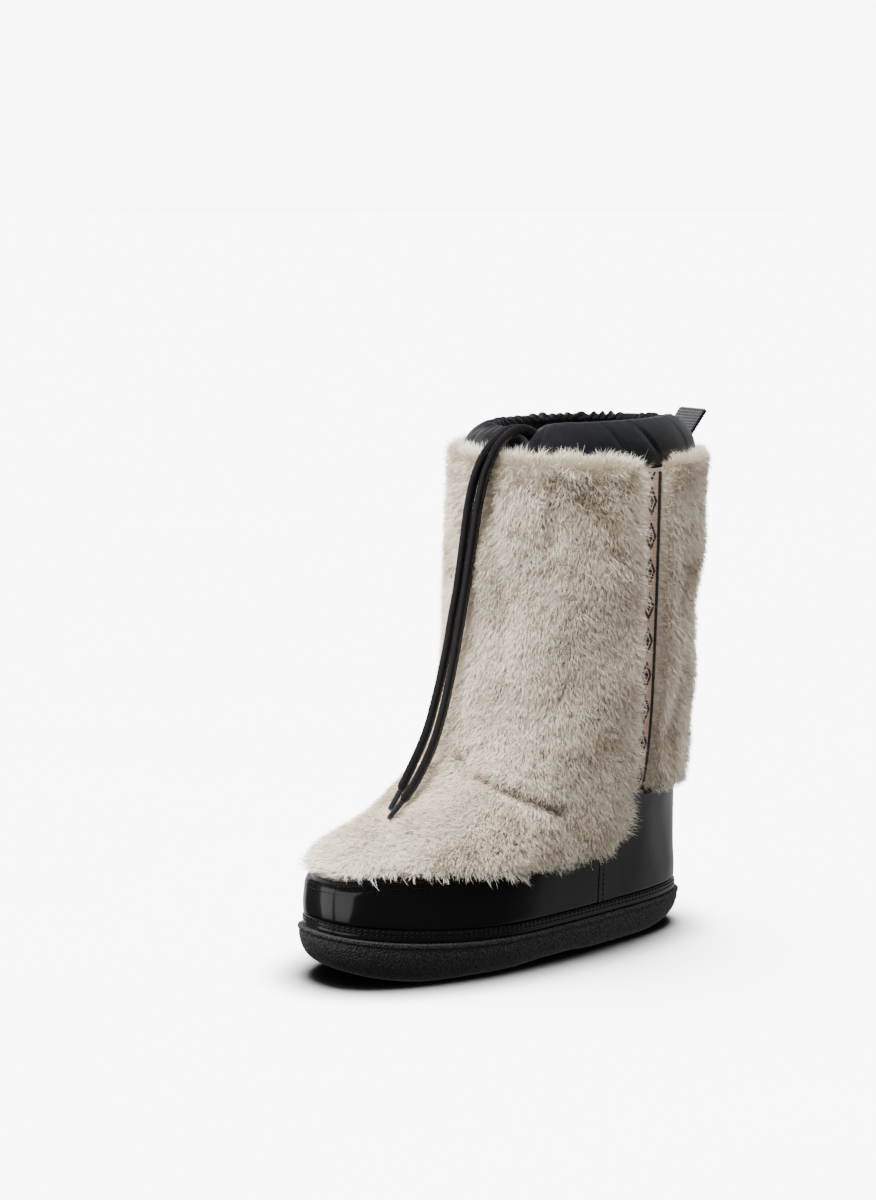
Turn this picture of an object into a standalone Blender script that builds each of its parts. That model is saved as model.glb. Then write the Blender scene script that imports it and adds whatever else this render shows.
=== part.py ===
"""Fur snow boot for the left foot: a cup sole, a stitched welt, a patent toe guard and heel counter,
a deep-pile fur upper with a woven tape down each side, and a padded collar drawn in by a cord.

Metres, +Z up. The toe points to -Y, the heel to +Y, and the wearer's left, the outer side, is +X.
The boot is a stack of rings, each tilted between a point at its front and one at its back.
"""

import math

import bmesh
import bpy
import numpy as np
from mathutils import Vector

# Driving dimensions
SOLE_LENGTH = 0.290
BALL_WIDTH = 0.116
HEEL_WIDTH = 0.094
SOLE_HEIGHT = 0.0230
TOE_RISE = 0.0115
TOE_RISE_POWER = 2.2
TOE_SPRING = 0.014
HEEL_SPRING = 0.008
ARCH_RISE = 0.0015
TOE_SWING = 0.002

# Shares of the sole's half length, from -1 at the toe to 1 at the heel for its underside, and from -1 at
# the heel to 1 at the toe for the widening from heel to ball
TOE_FLAT_END = 0.52
HEEL_FLAT_END = 0.62
ARCH_FRONT = -0.18
ARCH_BACK = 0.34
ARCH_BLEND = 0.2
WAIST_START = -0.65
WAIST_LENGTH = 1.05

# Thicknesses
WALL = 0.004
PILE = 0.012
FUR_LIP = 0.013
GAP = 0.0003

# The shell is the outside of the upper's backing cloth, under the pile. Rises are above the sole's top.
SHELL_COLUMNS = ("front_y", "front_rise", "back_y", "back_rise", "ball_half", "heel_half", "square")
SHELL_ROWS = (
    (-0.1385, 0.000, 0.1395, 0.000, 0.0525, 0.0415, 2.50),
    (-0.1395, 0.014, 0.1395, 0.014, 0.0535, 0.0430, 2.50),
    (-0.1385, 0.028, 0.1385, 0.030, 0.0535, 0.0445, 2.45),
    (-0.1290, 0.042, 0.1375, 0.050, 0.0530, 0.0470, 2.40),
    (-0.0990, 0.056, 0.1365, 0.070, 0.0530, 0.0500, 2.35),
    (-0.0660, 0.073, 0.1355, 0.092, 0.0540, 0.0535, 2.30),
    (-0.0400, 0.096, 0.1350, 0.115, 0.0565, 0.0570, 2.25),
    (-0.0240, 0.128, 0.1345, 0.145, 0.0595, 0.0600, 2.20),
    (-0.0165, 0.175, 0.1355, 0.185, 0.0620, 0.0625, 2.15),
    (-0.0125, 0.230, 0.1385, 0.232, 0.0645, 0.0645, 2.15),
    (-0.0095, 0.290, 0.1430, 0.290, 0.0665, 0.0665, 2.15),
)
SHEER_FADE = 0.120

# Panels on the shell
WELT_HEIGHT = 0.0075
WELT_THICK = 0.0030
PATENT_THICK = 0.0015
TAPE_THICK = 0.0009
TAPE_GROUND = 0.0008
TAPE_HALF = 0.0100
TAPE_FOOT_Y = 0.071
TAPE_FOOT_RISE = 0.080
TAPE_TOP_Y = 0.069
PILE_FALL = 0.009
FUR_EDGE_COLUMNS = ("y", "rise")
FUR_EDGE_ROWS = (
    (-0.150, 0.0310),
    (-0.135, 0.0330),
    (-0.110, 0.0395),
    (-0.080, 0.0415),
    (0.000, 0.0425),
    (0.030, 0.0440),
    (0.048, 0.0470),
    (0.055, 0.0530),
    (0.060, 0.0650),
    (0.063, 0.0790),
    (0.160, 0.0780),
)

# Stations number the lines that run down the shell on either side: 0 is the middle of the toe and 6
# that of the heel. Those of the inner side are negative.
FRONT_FUR, TAPE_FRONT, TAPE_REAR, BACK_FUR, HEEL = 1, 2, 4, 5, 6
PANEL_SEAM = 0.975


def column(rows, columns, name):
    """One named column of a table."""
    return np.array([row[columns.index(name)] for row in rows], float)


def smooth(knots, values, at):
    """A curve through the values at the knots that never overshoots them."""
    knots, values, at = (np.asarray(x, float) for x in (knots, values, at))
    step = np.diff(knots)
    slope = np.diff(values) / step
    product = slope[:-1] * slope[1:]
    total = slope[:-1] + slope[1:]
    inner = np.where(product > 0, 2 * product / np.where(product > 0, total, 1), 0)
    tangent = np.concatenate([slope[:1], inner, slope[-1:]])
    i = np.clip(np.searchsorted(knots, at, side="right") - 1, 0, len(step) - 1)
    t = np.clip((at - knots[i]) / step[i], 0, 1)
    return (
        values[i] * (2 * t**3 - 3 * t**2 + 1)
        + values[i + 1] * (3 * t**2 - 2 * t**3)
        + step[i] * (tangent[i] * (t**3 - 2 * t**2 + t) + tangent[i + 1] * (t**3 - t**2))
    )


def ease(x):
    """0 to 1 with level ends."""
    x = np.clip(x, 0, 1)
    return x * x * (3 - 2 * x)


def signed_power(x, power):
    """The power of a number's size, with its sign kept."""
    return np.sign(x) * np.abs(x) ** power


def sole_top(y):
    """Height of the sole's upper edge: level, then rising to the toe."""
    toe = np.clip(-np.asarray(y, float) / (SOLE_LENGTH / 2), 0, 1)
    return SOLE_HEIGHT + TOE_RISE * toe**TOE_RISE_POWER


def sole_bottom(y):
    """Height of the tread: flat under the ball and the heel, arched between, sprung at both ends."""
    share = np.asarray(y, float) / (SOLE_LENGTH / 2)
    toe = TOE_SPRING * np.clip((-share - TOE_FLAT_END) / (1 - TOE_FLAT_END), 0, 1) ** 2
    heel = HEEL_SPRING * np.clip((share - HEEL_FLAT_END) / (1 - HEEL_FLAT_END), 0, 1) ** 2
    arch = ARCH_RISE * ease((share - ARCH_FRONT) / ARCH_BLEND) * ease((ARCH_BACK - share) / ARCH_BLEND)
    return toe + heel + arch


def ring_shape(turn, ball_half, heel_half, square):
    """(share along from heel -1 to toe 1, half width there with its sign) of a rounded ring."""
    angle = np.radians(turn)
    along = signed_power(np.cos(angle), 2 / square)
    across = signed_power(np.sin(angle), 2 / square)
    half = heel_half + (ball_half - heel_half) * ease((along - WAIST_START) / WAIST_LENGTH)
    return along, half * across


def toe_swing(along):
    """The toe of a left boot leans to the inner side."""
    return -TOE_SWING * np.clip(along, 0, 1) ** 2


def shell_row(level):
    """The shell's table read at the given levels, from 0 at the sole to 1 at the collar seam."""
    knots = np.linspace(0, 1, len(SHELL_ROWS))
    return {name: smooth(knots, column(SHELL_ROWS, SHELL_COLUMNS, name), level) for name in SHELL_COLUMNS}


def turn_through(row, y):
    """The turn at which each ring passes this y on the outer side."""
    along = 2 * (y - row["back_y"]) / (row["front_y"] - row["back_y"]) - 1
    return np.degrees(np.arccos(np.clip(signed_power(along, row["square"] / 2), -1, 1)))


def station_turn(station, row):
    """The turn of a station on each ring. The tape's own stations keep to its straight line."""
    rise = (row["front_rise"] + row["back_rise"]) / 2
    up = (rise - TAPE_FOOT_RISE) / (SHELL_ROWS[-1][1] - TAPE_FOOT_RISE)
    tape_y = TAPE_FOOT_Y + (TAPE_TOP_Y - TAPE_FOOT_Y) * up
    steps = (-TAPE_HALF - PILE_FALL, -TAPE_HALF, 0.0, TAPE_HALF, TAPE_HALF + PILE_FALL)
    turns = [np.zeros_like(rise)] + [turn_through(row, tape_y + step) for step in steps]
    marks = np.stack(turns + [np.full_like(rise, 180.0)])
    low = np.clip(np.abs(station).astype(int), 0, HEEL - 1)
    share = np.abs(station) - low
    before = np.take_along_axis(marks, low[None], 0)[0]
    after = np.take_along_axis(marks, low[None] + 1, 0)[0]
    return np.sign(station) * (before + (after - before) * share)


def shell(station, level):
    """The shell's points at the given stations and levels."""
    station, level = np.broadcast_arrays(np.asarray(station, float), np.asarray(level, float))
    row = shell_row(level)
    along, x = ring_shape(station_turn(station, row), row["ball_half"], row["heel_half"], row["square"])
    front_share = (1 + along) / 2
    y = row["back_y"] + (row["front_y"] - row["back_y"]) * front_share
    rise = row["back_rise"] + (row["front_rise"] - row["back_rise"]) * front_share
    fade = ease(1 - rise / SHEER_FADE)
    z = SOLE_HEIGHT + rise + fade * (sole_top(y) - SOLE_HEIGHT)
    return np.stack([x + toe_swing(along) * fade, y, z], axis=-1)


def shell_normal(station, level):
    """The outward direction at the given stations and levels."""
    ahead = np.where(station + 0.02 > HEEL, station + 0.02 - 2 * HEEL, station + 0.02)
    behind = np.where(station - 0.02 < -HEEL, station - 0.02 + 2 * HEEL, station - 0.02)
    across = shell(ahead, level) - shell(behind, level)
    upward = shell(station, np.minimum(level + 0.004, 1)) - shell(station, np.maximum(level - 0.004, 0))
    normal = np.cross(across, upward)
    return normal / np.linalg.norm(normal, axis=-1, keepdims=True)


def offset_shell(station, level, out):
    """Shell points moved out, or in where out is negative."""
    station, level, out = np.broadcast_arrays(*(np.asarray(x, float) for x in (station, level, out)))
    return shell(station, level) + out[..., None] * shell_normal(station, level)


SCAN_LEVELS = np.linspace(0, 1, 241)


def level_where(station, rise_at):
    """The lowest level at each station where the shell has risen to what rise_at gives for its y."""
    found = []
    for s in np.atleast_1d(station):
        points = shell(s, SCAN_LEVELS)
        over = points[:, 2] - sole_top(points[:, 1]) - rise_at(points[:, 1])
        k = int(np.argmax(over > 0))
        share = over[k - 1] / (over[k - 1] - over[k])
        found.append(SCAN_LEVELS[k - 1] + share * (SCAN_LEVELS[k] - SCAN_LEVELS[k - 1]))
    return np.array(found)


def fur_edge_rise(y):
    """Rise of the fur's lower edge, for places along the boot."""
    return smooth(
        column(FUR_EDGE_ROWS, FUR_EDGE_COLUMNS, "y"), column(FUR_EDGE_ROWS, FUR_EDGE_COLUMNS, "rise"), y
    )


def pile_at(station):
    """The pile's depth, which falls to the bare ground along each side tape."""
    side = np.abs(station)
    clear = np.clip(np.maximum(TAPE_FRONT - side, side - TAPE_REAR), 0, 1)
    return TAPE_GROUND + (PILE - TAPE_GROUND) * np.sin(np.pi / 2 * clear) ** 0.6


def ring_stations(toe_steps, heel_steps):
    """Stations all round the boot, with a pair at the panel seams and more where the pile falls."""
    toe = np.linspace(0, PANEL_SEAM, toe_steps + 1)
    fall = np.array([0.5, 0.85])
    tape = np.linspace(TAPE_FRONT, TAPE_REAR, 4)
    heel = np.linspace(BACK_FUR, HEEL, heel_steps + 1)
    side = np.concatenate([toe, [FRONT_FUR], FRONT_FUR + fall, tape, BACK_FUR - fall[::-1], heel])
    return np.concatenate([side, -side[-2:0:-1]])


# Making solids


def material(name, colour, roughness, metallic=0.0, coat=0.0):
    """A plain finish for one piece, from its linear colour."""
    made = bpy.data.materials.new(name)
    made.use_nodes = True
    shader = made.node_tree.nodes["Principled BSDF"]
    shader.inputs["Base Color"].default_value = (*colour, 1.0)
    shader.inputs["Roughness"].default_value = roughness
    shader.inputs["Metallic"].default_value = metallic
    shader.inputs["Coat Weight"].default_value = coat
    return made


def add_object(name, points, faces, finish, boot, smooth_angle=40.0):
    """A named piece from its points and faces, with its faces turned out."""
    mesh = bpy.data.meshes.new(name)
    mesh.from_pydata([tuple(p) for p in points], [], [tuple(int(i) for i in f) for f in faces])
    work = bmesh.new()
    work.from_mesh(mesh)
    bmesh.ops.recalc_face_normals(work, faces=work.faces)
    work.to_mesh(mesh)
    work.free()
    mesh.shade_smooth()
    mesh.set_sharp_from_angle(angle=math.radians(smooth_angle))
    mesh.materials.append(finish)
    piece = bpy.data.objects.new(name, mesh)
    bpy.context.scene.collection.objects.link(piece)
    piece.parent = boot
    return piece


def grid_faces(rows, columns, close_rows=False, close_columns=False):
    """Quads between neighbouring rows and columns of a grid of points."""
    last_row = rows if close_rows else rows - 1
    last_column = columns if close_columns else columns - 1
    return [
        (
            r * columns + c,
            r * columns + (c + 1) % columns,
            (r + 1) % rows * columns + (c + 1) % columns,
            (r + 1) % rows * columns + c,
        )
        for r in range(last_row)
        for c in range(last_column)
    ]


def add_band(name, loop, finish, boot, smooth_angle=40.0):
    """A closed band: loop holds rows of points, the last row joining the first and each row a whole ring."""
    rows, columns = loop.shape[:2]
    faces = grid_faces(rows, columns, close_rows=True, close_columns=True)
    return add_object(name, loop.reshape(-1, 3), faces, finish, boot, smooth_angle)


def add_patch(name, outer, inner, finish, boot):
    """A plate between two open grids of the same size."""
    rows, columns = outer.shape[:2]
    loop = np.concatenate([outer, inner[::-1]])
    faces = grid_faces(2 * rows, columns, close_rows=True)
    for side in (0, columns - 1):
        for r in range(rows - 1):
            a, b = r * columns + side, (r + 1) * columns + side
            c, d = (2 * rows - 2 - r) * columns + side, (2 * rows - 1 - r) * columns + side
            faces.append((a, b, c, d))
    return add_object(name, loop.reshape(-1, 3), faces, finish, boot)


def add_capped(name, rings, finish, boot, smooth_angle=40.0):
    """A solid from rings of points, with a point in the middle of its first and last ring."""
    count, columns = rings.shape[:2]
    points = np.concatenate([rings.reshape(-1, 3), rings[0].mean(0)[None], rings[-1].mean(0)[None]])
    faces = grid_faces(count, columns, close_columns=True)
    first, last = count * columns, count * columns + 1
    for c in range(columns):
        d = (c + 1) % columns
        faces.append((first, c, d))
        faces.append((last, (count - 1) * columns + d, (count - 1) * columns + c))
    return add_object(name, points, faces, finish, boot, smooth_angle)


STATIONS = ring_stations(toe_steps=11, heel_steps=8)

# Sole

# Sidewall rows: inset from the widest edge, share of the height there
SIDEWALL_ROWS = (
    (0.0012, 1.00),
    (0.0000, 0.93),
    (0.0006, 0.72),
    (0.0018, 0.48),
    (0.0042, 0.25),
    (0.0085, 0.08),
    (0.0140, 0.00),
)
SOLE_SQUARE = 2.5
SOLE_SHARES = np.linspace(0.9, 0.15, 6)
TREAD_SHARES = np.linspace(0.88, 0.2, 4)


def sole_outline(inset):
    """(x, y) of the sole's edge drawn in by inset, at each station."""
    turn = station_turn(STATIONS, shell_row(np.zeros_like(STATIONS)))
    along, x = ring_shape(turn, BALL_WIDTH / 2 - inset, HEEL_WIDTH / 2 - inset, SOLE_SQUARE)
    return x + toe_swing(along), -along * (SOLE_LENGTH / 2 - inset)


def drawn_in(share, height):
    """A ring of the sole's flat part shrunk to a share of its size, at the height that the function gives."""
    x, y = sole_outline(SIDEWALL_ROWS[-1][0])
    return np.stack([x * share, y * share, height(y * share)], axis=-1)


GROOVE_WIDTH = 0.005
GROOVE_DEPTH = 0.003
GROOVE_PITCH = 0.014
# Groove rows: y of the first, count, half length
GROOVE_ROWS = (
    (-0.080, 4, 0.038),
    (0.056, 3, 0.028),
)


def box_points(low, high):
    """The eight corners of a box."""
    return [(x, y, z) for x in (low[0], high[0]) for y in (low[1], high[1]) for z in (low[2], high[2])]


BOX_FACES = ((0, 1, 3, 2), (4, 6, 7, 5), (0, 4, 5, 1), (2, 3, 7, 6), (0, 2, 6, 4), (1, 5, 7, 3))


def make_tread_cutter(boot, finish):
    """The bars that cut the blind grooves between the main lugs, under the ball and under the heel."""
    points, faces = [], []
    for first_y, count, half_length in GROOVE_ROWS:
        for k in range(count):
            y = first_y + k * GROOVE_PITCH
            top = float(sole_bottom(y)) + GROOVE_DEPTH
            low = (-half_length, y - GROOVE_WIDTH / 2, -SOLE_HEIGHT)
            high = (half_length, y + GROOVE_WIDTH / 2, top)
            faces += [[len(points) + i for i in face] for face in BOX_FACES]
            points += box_points(low, high)
    cutter = add_object("tread_cutter", points, faces, finish, boot)
    cutter.hide_render = True
    cutter.display_type = "WIRE"
    return cutter


def make_outsole(boot):
    """The moulded cup sole, from the middle of its top, out over the edge and under the tread."""
    rings = [drawn_in(share, sole_top) for share in SOLE_SHARES[::-1]]
    for inset, share in SIDEWALL_ROWS:
        x, y = sole_outline(inset)
        bottom, top = sole_bottom(y), sole_top(y)
        rings.append(np.stack([x, y, bottom + (top - bottom) * share], axis=-1))
    rings += [drawn_in(share, sole_bottom) for share in TREAD_SHARES]
    finish = material("sole_rubber", (0.012, 0.012, 0.013), 0.75)
    outsole = add_capped("outsole", np.array(rings), finish, boot, smooth_angle=50.0)
    cut = outsole.modifiers.new("tread", "BOOLEAN")
    cut.operation = "DIFFERENCE"
    cut.solver = "EXACT"
    cut.object = make_tread_cutter(boot, finish)
    return outsole


# Upper and the pieces on it

# Rows of the fur's rounded lower edge: step in level, share of the pile
FUR_ROUND_ROWS = ((0.000, 0.40), (0.010, 0.78), (0.026, 0.97))
# Rows of the fur's lip over the collar seam: share of its height, share of the pile
FUR_LIP_ROWS = ((0.30, 0.97), (0.80, 0.80), (1.00, 0.52), (0.72, 0.24))
LOOP_WIDTH = 0.025
LOOP_PARTING = 0.016
PARTED_LIP = 0.1
PATENT_SHARES = np.linspace(0, 1, 7)
FUR_SHARES = np.linspace(0, 1, 13)[1:]
LINING_LEVELS = np.linspace(1, 0, 10)


def lip_height():
    """Height of the fur's lip over the collar seam, at each station. It parts for the pull loop."""
    seam = shell(STATIONS, 1)
    apart = ease((np.abs(seam[:, 0]) - LOOP_WIDTH / 2) / LOOP_PARTING)
    behind = seam[:, 1] > TAPE_TOP_Y
    return FUR_LIP * pile_at(STATIONS) / PILE * np.where(behind, np.maximum(apart, PARTED_LIP), 1)


def make_upper(boot):
    """One hollow wall: backing and lining all over, and the pile's depth on it where there is fur."""
    pile = pile_at(STATIONS)
    edge = level_where(STATIONS, fur_edge_rise)
    upright = np.array([0.0, 0.0, 1.0])
    rows = [offset_shell(STATIONS, edge * share, 0) for share in PATENT_SHARES]
    rows += [offset_shell(STATIONS, edge + step, pile * share) for step, share in FUR_ROUND_ROWS]
    start = edge + FUR_ROUND_ROWS[-1][0]
    rows += [offset_shell(STATIONS, start + (1 - start) * share, pile) for share in FUR_SHARES]
    lip = lip_height()
    for lip_share, pile_share in FUR_LIP_ROWS:
        rows.append(offset_shell(STATIONS, 1, pile * pile_share) + (lip * lip_share)[:, None] * upright)
    rows.append(offset_shell(STATIONS, 1, 0))
    rows += [offset_shell(STATIONS, level, -WALL) for level in LINING_LEVELS]
    finish = material("fur", (0.62, 0.55, 0.47), 0.9)
    return add_band("upper", np.array(rows) + GAP * upright, finish, boot)


# Welt rows: distance out from the shell, share of the height
WELT_ROWS = ((GAP, 0.0), (WELT_THICK, 0.0), (WELT_THICK, 0.75), (0.7 * WELT_THICK, 1.0), (GAP, 1.0))


def make_welt(boot):
    """The stitched strip that stands on the sole round the foot of the upper."""
    foot = shell(STATIONS, 0)
    top = shell(STATIONS, level_where(STATIONS, lambda y: 0 * y + WELT_HEIGHT))
    outward = shell_normal(STATIONS, 0 * STATIONS) * [1, 1, 0]
    outward /= np.linalg.norm(outward, axis=1, keepdims=True)
    rows = []
    for out, share in WELT_ROWS:
        inside = foot + (top - foot) * share
        ring = inside + outward * out
        seat = sole_top(ring[:, 1]) * (1 - share) + sole_top(inside[:, 1]) * share
        ring[:, 2] = seat + GAP + WELT_HEIGHT * share
        rows.append(ring)
    finish = material("welt_patent", (0.010, 0.010, 0.011), 0.25, coat=0.6)
    return add_band("welt", np.array(rows), finish, boot)


def overlay(name, stations, low, high, ground, thick, steps, finish, boot):
    """A panel on the shell between two levels at each station, standing clear of it by the gap."""
    levels = low + (high - low) * np.linspace(0, 1, steps + 1)[:, None]
    outer = offset_shell(stations, levels, ground + GAP + thick)
    inner = offset_shell(stations, levels, ground + GAP)
    return add_patch(name, outer, inner, finish, boot)


FUR_CLEAR = 0.0015
SEAM_STEP = 0.006
PATENT_STEPS = 6


def patent_panel(name, stations, finish, boot):
    """A patent panel that fills the height from the welt to just under the fur."""
    low = level_where(stations, lambda y: 0 * y + WELT_HEIGHT + 2.5 * GAP)
    high = level_where(stations, lambda y: fur_edge_rise(y - FUR_CLEAR) - FUR_CLEAR)
    return overlay(name, stations, low, high, 0.5 * GAP, PATENT_THICK, PATENT_STEPS, finish, boot)


def make_toe_guard(boot):
    """The patent mudguard round the toe, from side seam to side seam."""
    stations = np.sort(STATIONS[np.abs(STATIONS) <= PANEL_SEAM])
    finish = material("toe_patent", (0.006, 0.006, 0.007), 0.06, coat=1.0)
    return patent_panel("toe_guard", stations, finish, boot)


def make_heel_counter(boot):
    """The patent counter round the heel, from the side seams to a high back."""
    start = PANEL_SEAM + SEAM_STEP
    stations = np.concatenate([[start], STATIONS[np.abs(STATIONS) > start], [-start]])
    finish = material("heel_patent", (0.008, 0.008, 0.009), 0.12, coat=1.0)
    return patent_panel("heel_counter", stations, finish, boot)


TAPE_MARGIN = 0.05
TAPE_TOP_LEVEL = 0.997
TAPE_STEPS = 12


def make_side_tape(boot, name, side):
    """A woven tape in the gap between the front and back fur."""
    stations = side * np.linspace(TAPE_FRONT + TAPE_MARGIN, TAPE_REAR - TAPE_MARGIN, 4)
    low = level_where(stations, lambda y: fur_edge_rise(y) + FUR_CLEAR)
    finish = material(name + "_weave", (0.50, 0.36, 0.30), 0.85)
    return overlay(name, stations, low, TAPE_TOP_LEVEL, TAPE_GROUND, TAPE_THICK, TAPE_STEPS, finish, boot)


# Collar rows: rise over the seam, distance out from the shell
COLLAR_ROWS = (
    (0.0000, -0.0008),
    (0.0075, -0.0014),
    (0.0150, -0.0038),
    (0.0205, -0.0080),
    (0.0240, -0.0125),
    (0.0260, -0.0170),
    (0.0245, -0.0205),
    (0.0185, -0.0180),
    (0.0095, -0.0100),
    (0.0000, -0.0040),
)
CORD_GAP_X = 0.026
CORD_GAP_HALF = 0.011
CORD_GAP_DEPTH = 0.34


def cord_gap_share(points):
    """The share of the collar's height that is left at the gap in its front, where the cord comes out."""
    away = (points[:, 0] - CORD_GAP_X) / CORD_GAP_HALF
    in_front = points[:, 1] < TAPE_TOP_Y
    return 1 - CORD_GAP_DEPTH * np.exp(-(away**2)) * in_front


def make_collar(boot):
    """The padded snow cuff, drawn in at its mouth, with a dip at the cord gap."""
    share = cord_gap_share(shell(STATIONS, 1))
    rows = []
    for rise, out in COLLAR_ROWS:
        ring = offset_shell(STATIONS, 1, out)
        ring[:, 2] += 2 * GAP + rise * share
        rows.append(ring)
    finish = material("collar_nylon", (0.012, 0.012, 0.014), 0.45)
    return add_band("collar", np.array(rows), finish, boot)


INSOLE_THICK = 0.005
INSOLE_SHARES = np.linspace(0.16, 1.0, 7)
FOOTBED_SHARES = np.linspace(1.0, 0.2, 4)


def make_insole(boot):
    """The footbed inside the upper, on the sole."""
    low = offset_shell(STATIONS, 0, -WALL - 2 * GAP)
    high = offset_shell(STATIONS, level_where(STATIONS, lambda y: 0 * y + INSOLE_THICK), -WALL - 2 * GAP)
    edge = np.minimum(np.abs(low), np.abs(high)) * np.sign(low)
    rings = []
    for height, shares in ((GAP, INSOLE_SHARES), (GAP + INSOLE_THICK, FOOTBED_SHARES)):
        for share in shares:
            ring = edge * [share, share, 0]
            ring[:, 2] = sole_top(ring[:, 1]) + height
            rings.append(ring)
    finish = material("insole_felt", (0.03, 0.03, 0.032), 0.95)
    return add_capped("insole", np.array(rings), finish, boot)


# Pull loop, drawcord and cord tips

LOOP_THICK = 0.0014
LOOP_SPACE = 0.0008
LOOP_RISE = 0.0030
# Rows of the loop's middle line: distance back and up from its sewn end
LOOP_LINE_ROWS = ((0.000, 0.000), (0.0036, 0.006), (0.0088, 0.0124), (0.0146, 0.0192), (0.0200, 0.0256))
LOOP_FOLD_STEPS = 6


def thicken(line, thick, space):
    """The outline of a strip folded double along a line of (y, z) points, with its fold at the far end."""
    along = np.gradient(line, axis=0)
    along /= np.linalg.norm(along, axis=1, keepdims=True)
    side = np.stack([along[:, 1], -along[:, 0]], axis=1)
    half = thick + space / 2
    angle = np.linspace(0, np.pi, LOOP_FOLD_STEPS + 1)[1:-1, None]
    outer_fold = line[-1] + half * (side[-1] * -np.cos(angle) + along[-1] * np.sin(angle))
    inner_fold = line[-1] + space / 2 * (side[-1] * -np.cos(angle) + along[-1] * np.sin(angle))
    outer = np.concatenate([line - half * side, outer_fold, (line + half * side)[::-1]])
    inner = np.concatenate([line - space / 2 * side, inner_fold, (line + space / 2 * side)[::-1]])
    return np.concatenate([outer, inner[::-1]])


def make_pull_loop(boot):
    """The folded webbing loop sewn in at the back of the collar seam, leaning away over the fur."""
    seat = offset_shell(HEEL, 1, COLLAR_ROWS[0][1])
    start = seat[1:] + [GAP + LOOP_THICK + LOOP_SPACE / 2, LOOP_RISE]
    outline = thicken(start + np.array(LOOP_LINE_ROWS), LOOP_THICK, LOOP_SPACE)
    count = len(outline)
    points = [(x, y, z) for x in (-LOOP_WIDTH / 2, LOOP_WIDTH / 2) for y, z in outline]
    faces = [(k, (k + 1) % count, count + (k + 1) % count, count + k) for k in range(count)]
    faces += [tuple(range(count)), tuple(range(count, 2 * count))]
    finish = material("loop_webbing", (0.010, 0.010, 0.011), 0.8)
    return add_object("pull_loop", points, faces, finish, boot)


CORD_DIAMETER = 0.0055
CORD_STEP = 2.4
AGLET_LENGTH = 0.0165
AGLET_SIDES = 10
# Aglet rows: share of the length, radius
AGLET_ROWS = ((0.00, 0.0016), (0.03, 0.0019), (0.30, 0.0018), (0.95, 0.0017), (1.00, 0.0013))

# The strands come out of the collar's front gap, hump over its edge, hang down the front of the shaft,
# pass clear of the hollow of the instep and lie on the vamp. Rows: x, y, z.
INNER_CORD_ROUTE = (
    (0.0202, 0.0110, 0.3342),
    (0.0188, 0.0062, 0.3374),
    (0.0174, 0.0002, 0.3388),
    (0.0166, -0.0064, 0.3372),
    (0.0162, -0.0126, 0.3334),
    (0.0158, -0.0184, 0.3284),
    (0.0142, -0.0228, 0.3215),
    (0.0110, -0.0246, 0.3135),
    (0.0078, -0.0252, 0.3055),
    (0.0050, -0.0256, 0.2960),
    (0.0030, -0.0260, 0.2870),
    (0.0003, -0.0272, 0.2670),
    (-0.0040, -0.0292, 0.2365),
    (-0.0070, -0.0310, 0.2190),
    (-0.0088, -0.0330, 0.2025),
    (-0.0102, -0.0356, 0.1880),
    (-0.0112, -0.0384, 0.1750),
    (-0.0118, -0.0416, 0.1635),
    (-0.0120, -0.0448, 0.1535),
    (-0.0120, -0.0488, 0.1440),
    (-0.0116, -0.0542, 0.1345),
    (-0.0104, -0.0614, 0.1245),
    (-0.0084, -0.0684, 0.1163),
    (-0.0064, -0.0726, 0.1122),
)
OUTER_CORD_ROUTE = (
    (0.0262, 0.0094, 0.3356),
    (0.0250, 0.0050, 0.3382),
    (0.0240, -0.0008, 0.3390),
    (0.0232, -0.0076, 0.3368),
    (0.0228, -0.0138, 0.3322),
    (0.0224, -0.0186, 0.3270),
    (0.0210, -0.0216, 0.3205),
    (0.0186, -0.0232, 0.3140),
    (0.0164, -0.0240, 0.3060),
    (0.0142, -0.0248, 0.2970),
    (0.0125, -0.0256, 0.2880),
    (0.0092, -0.0268, 0.2680),
    (0.0049, -0.0292, 0.2375),
    (0.0026, -0.0310, 0.2200),
    (0.0008, -0.0330, 0.2035),
    (-0.0004, -0.0354, 0.1890),
    (-0.0014, -0.0380, 0.1763),
    (-0.0020, -0.0408, 0.1646),
    (-0.0022, -0.0438, 0.1548),
    (-0.0022, -0.0474, 0.1452),
    (-0.0018, -0.0522, 0.1356),
    (-0.0008, -0.0592, 0.1256),
    (0.0006, -0.0668, 0.1168),
    (0.0026, -0.0740, 0.1110),
    (0.0042, -0.0786, 0.1080),
)
INNER_TIP = (0.0004, -0.0858, 0.1026)
OUTER_TIP = (0.0094, -0.0936, 0.0992)
CURVE_STEPS = 16


def curve_through(route, spacing):
    """Evenly spaced points on a smooth curve through all the points of a route."""
    knots = np.array(route, float)
    ends = np.concatenate([[2 * knots[0] - knots[1]], knots, [2 * knots[-1] - knots[-2]]])
    t = np.linspace(0, 1, CURVE_STEPS, endpoint=False)[:, None]
    fine = []
    for a, b, c, d in zip(ends, ends[1:], ends[2:], ends[3:]):
        bend = (2 * a - 5 * b + 4 * c - d) * t**2 + (3 * b - a - 3 * c + d) * t**3
        fine.append(b + ((c - a) * t + bend) / 2)
    fine = np.concatenate(fine + [knots[-1:]])
    run = np.concatenate([[0], np.cumsum(np.linalg.norm(np.diff(fine, axis=0), axis=1))])
    at = np.linspace(0, run[-1], int(round(run[-1] / spacing)) + 1)
    return np.stack([np.interp(at, run, fine[:, k]) for k in range(3)], axis=1)


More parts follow.
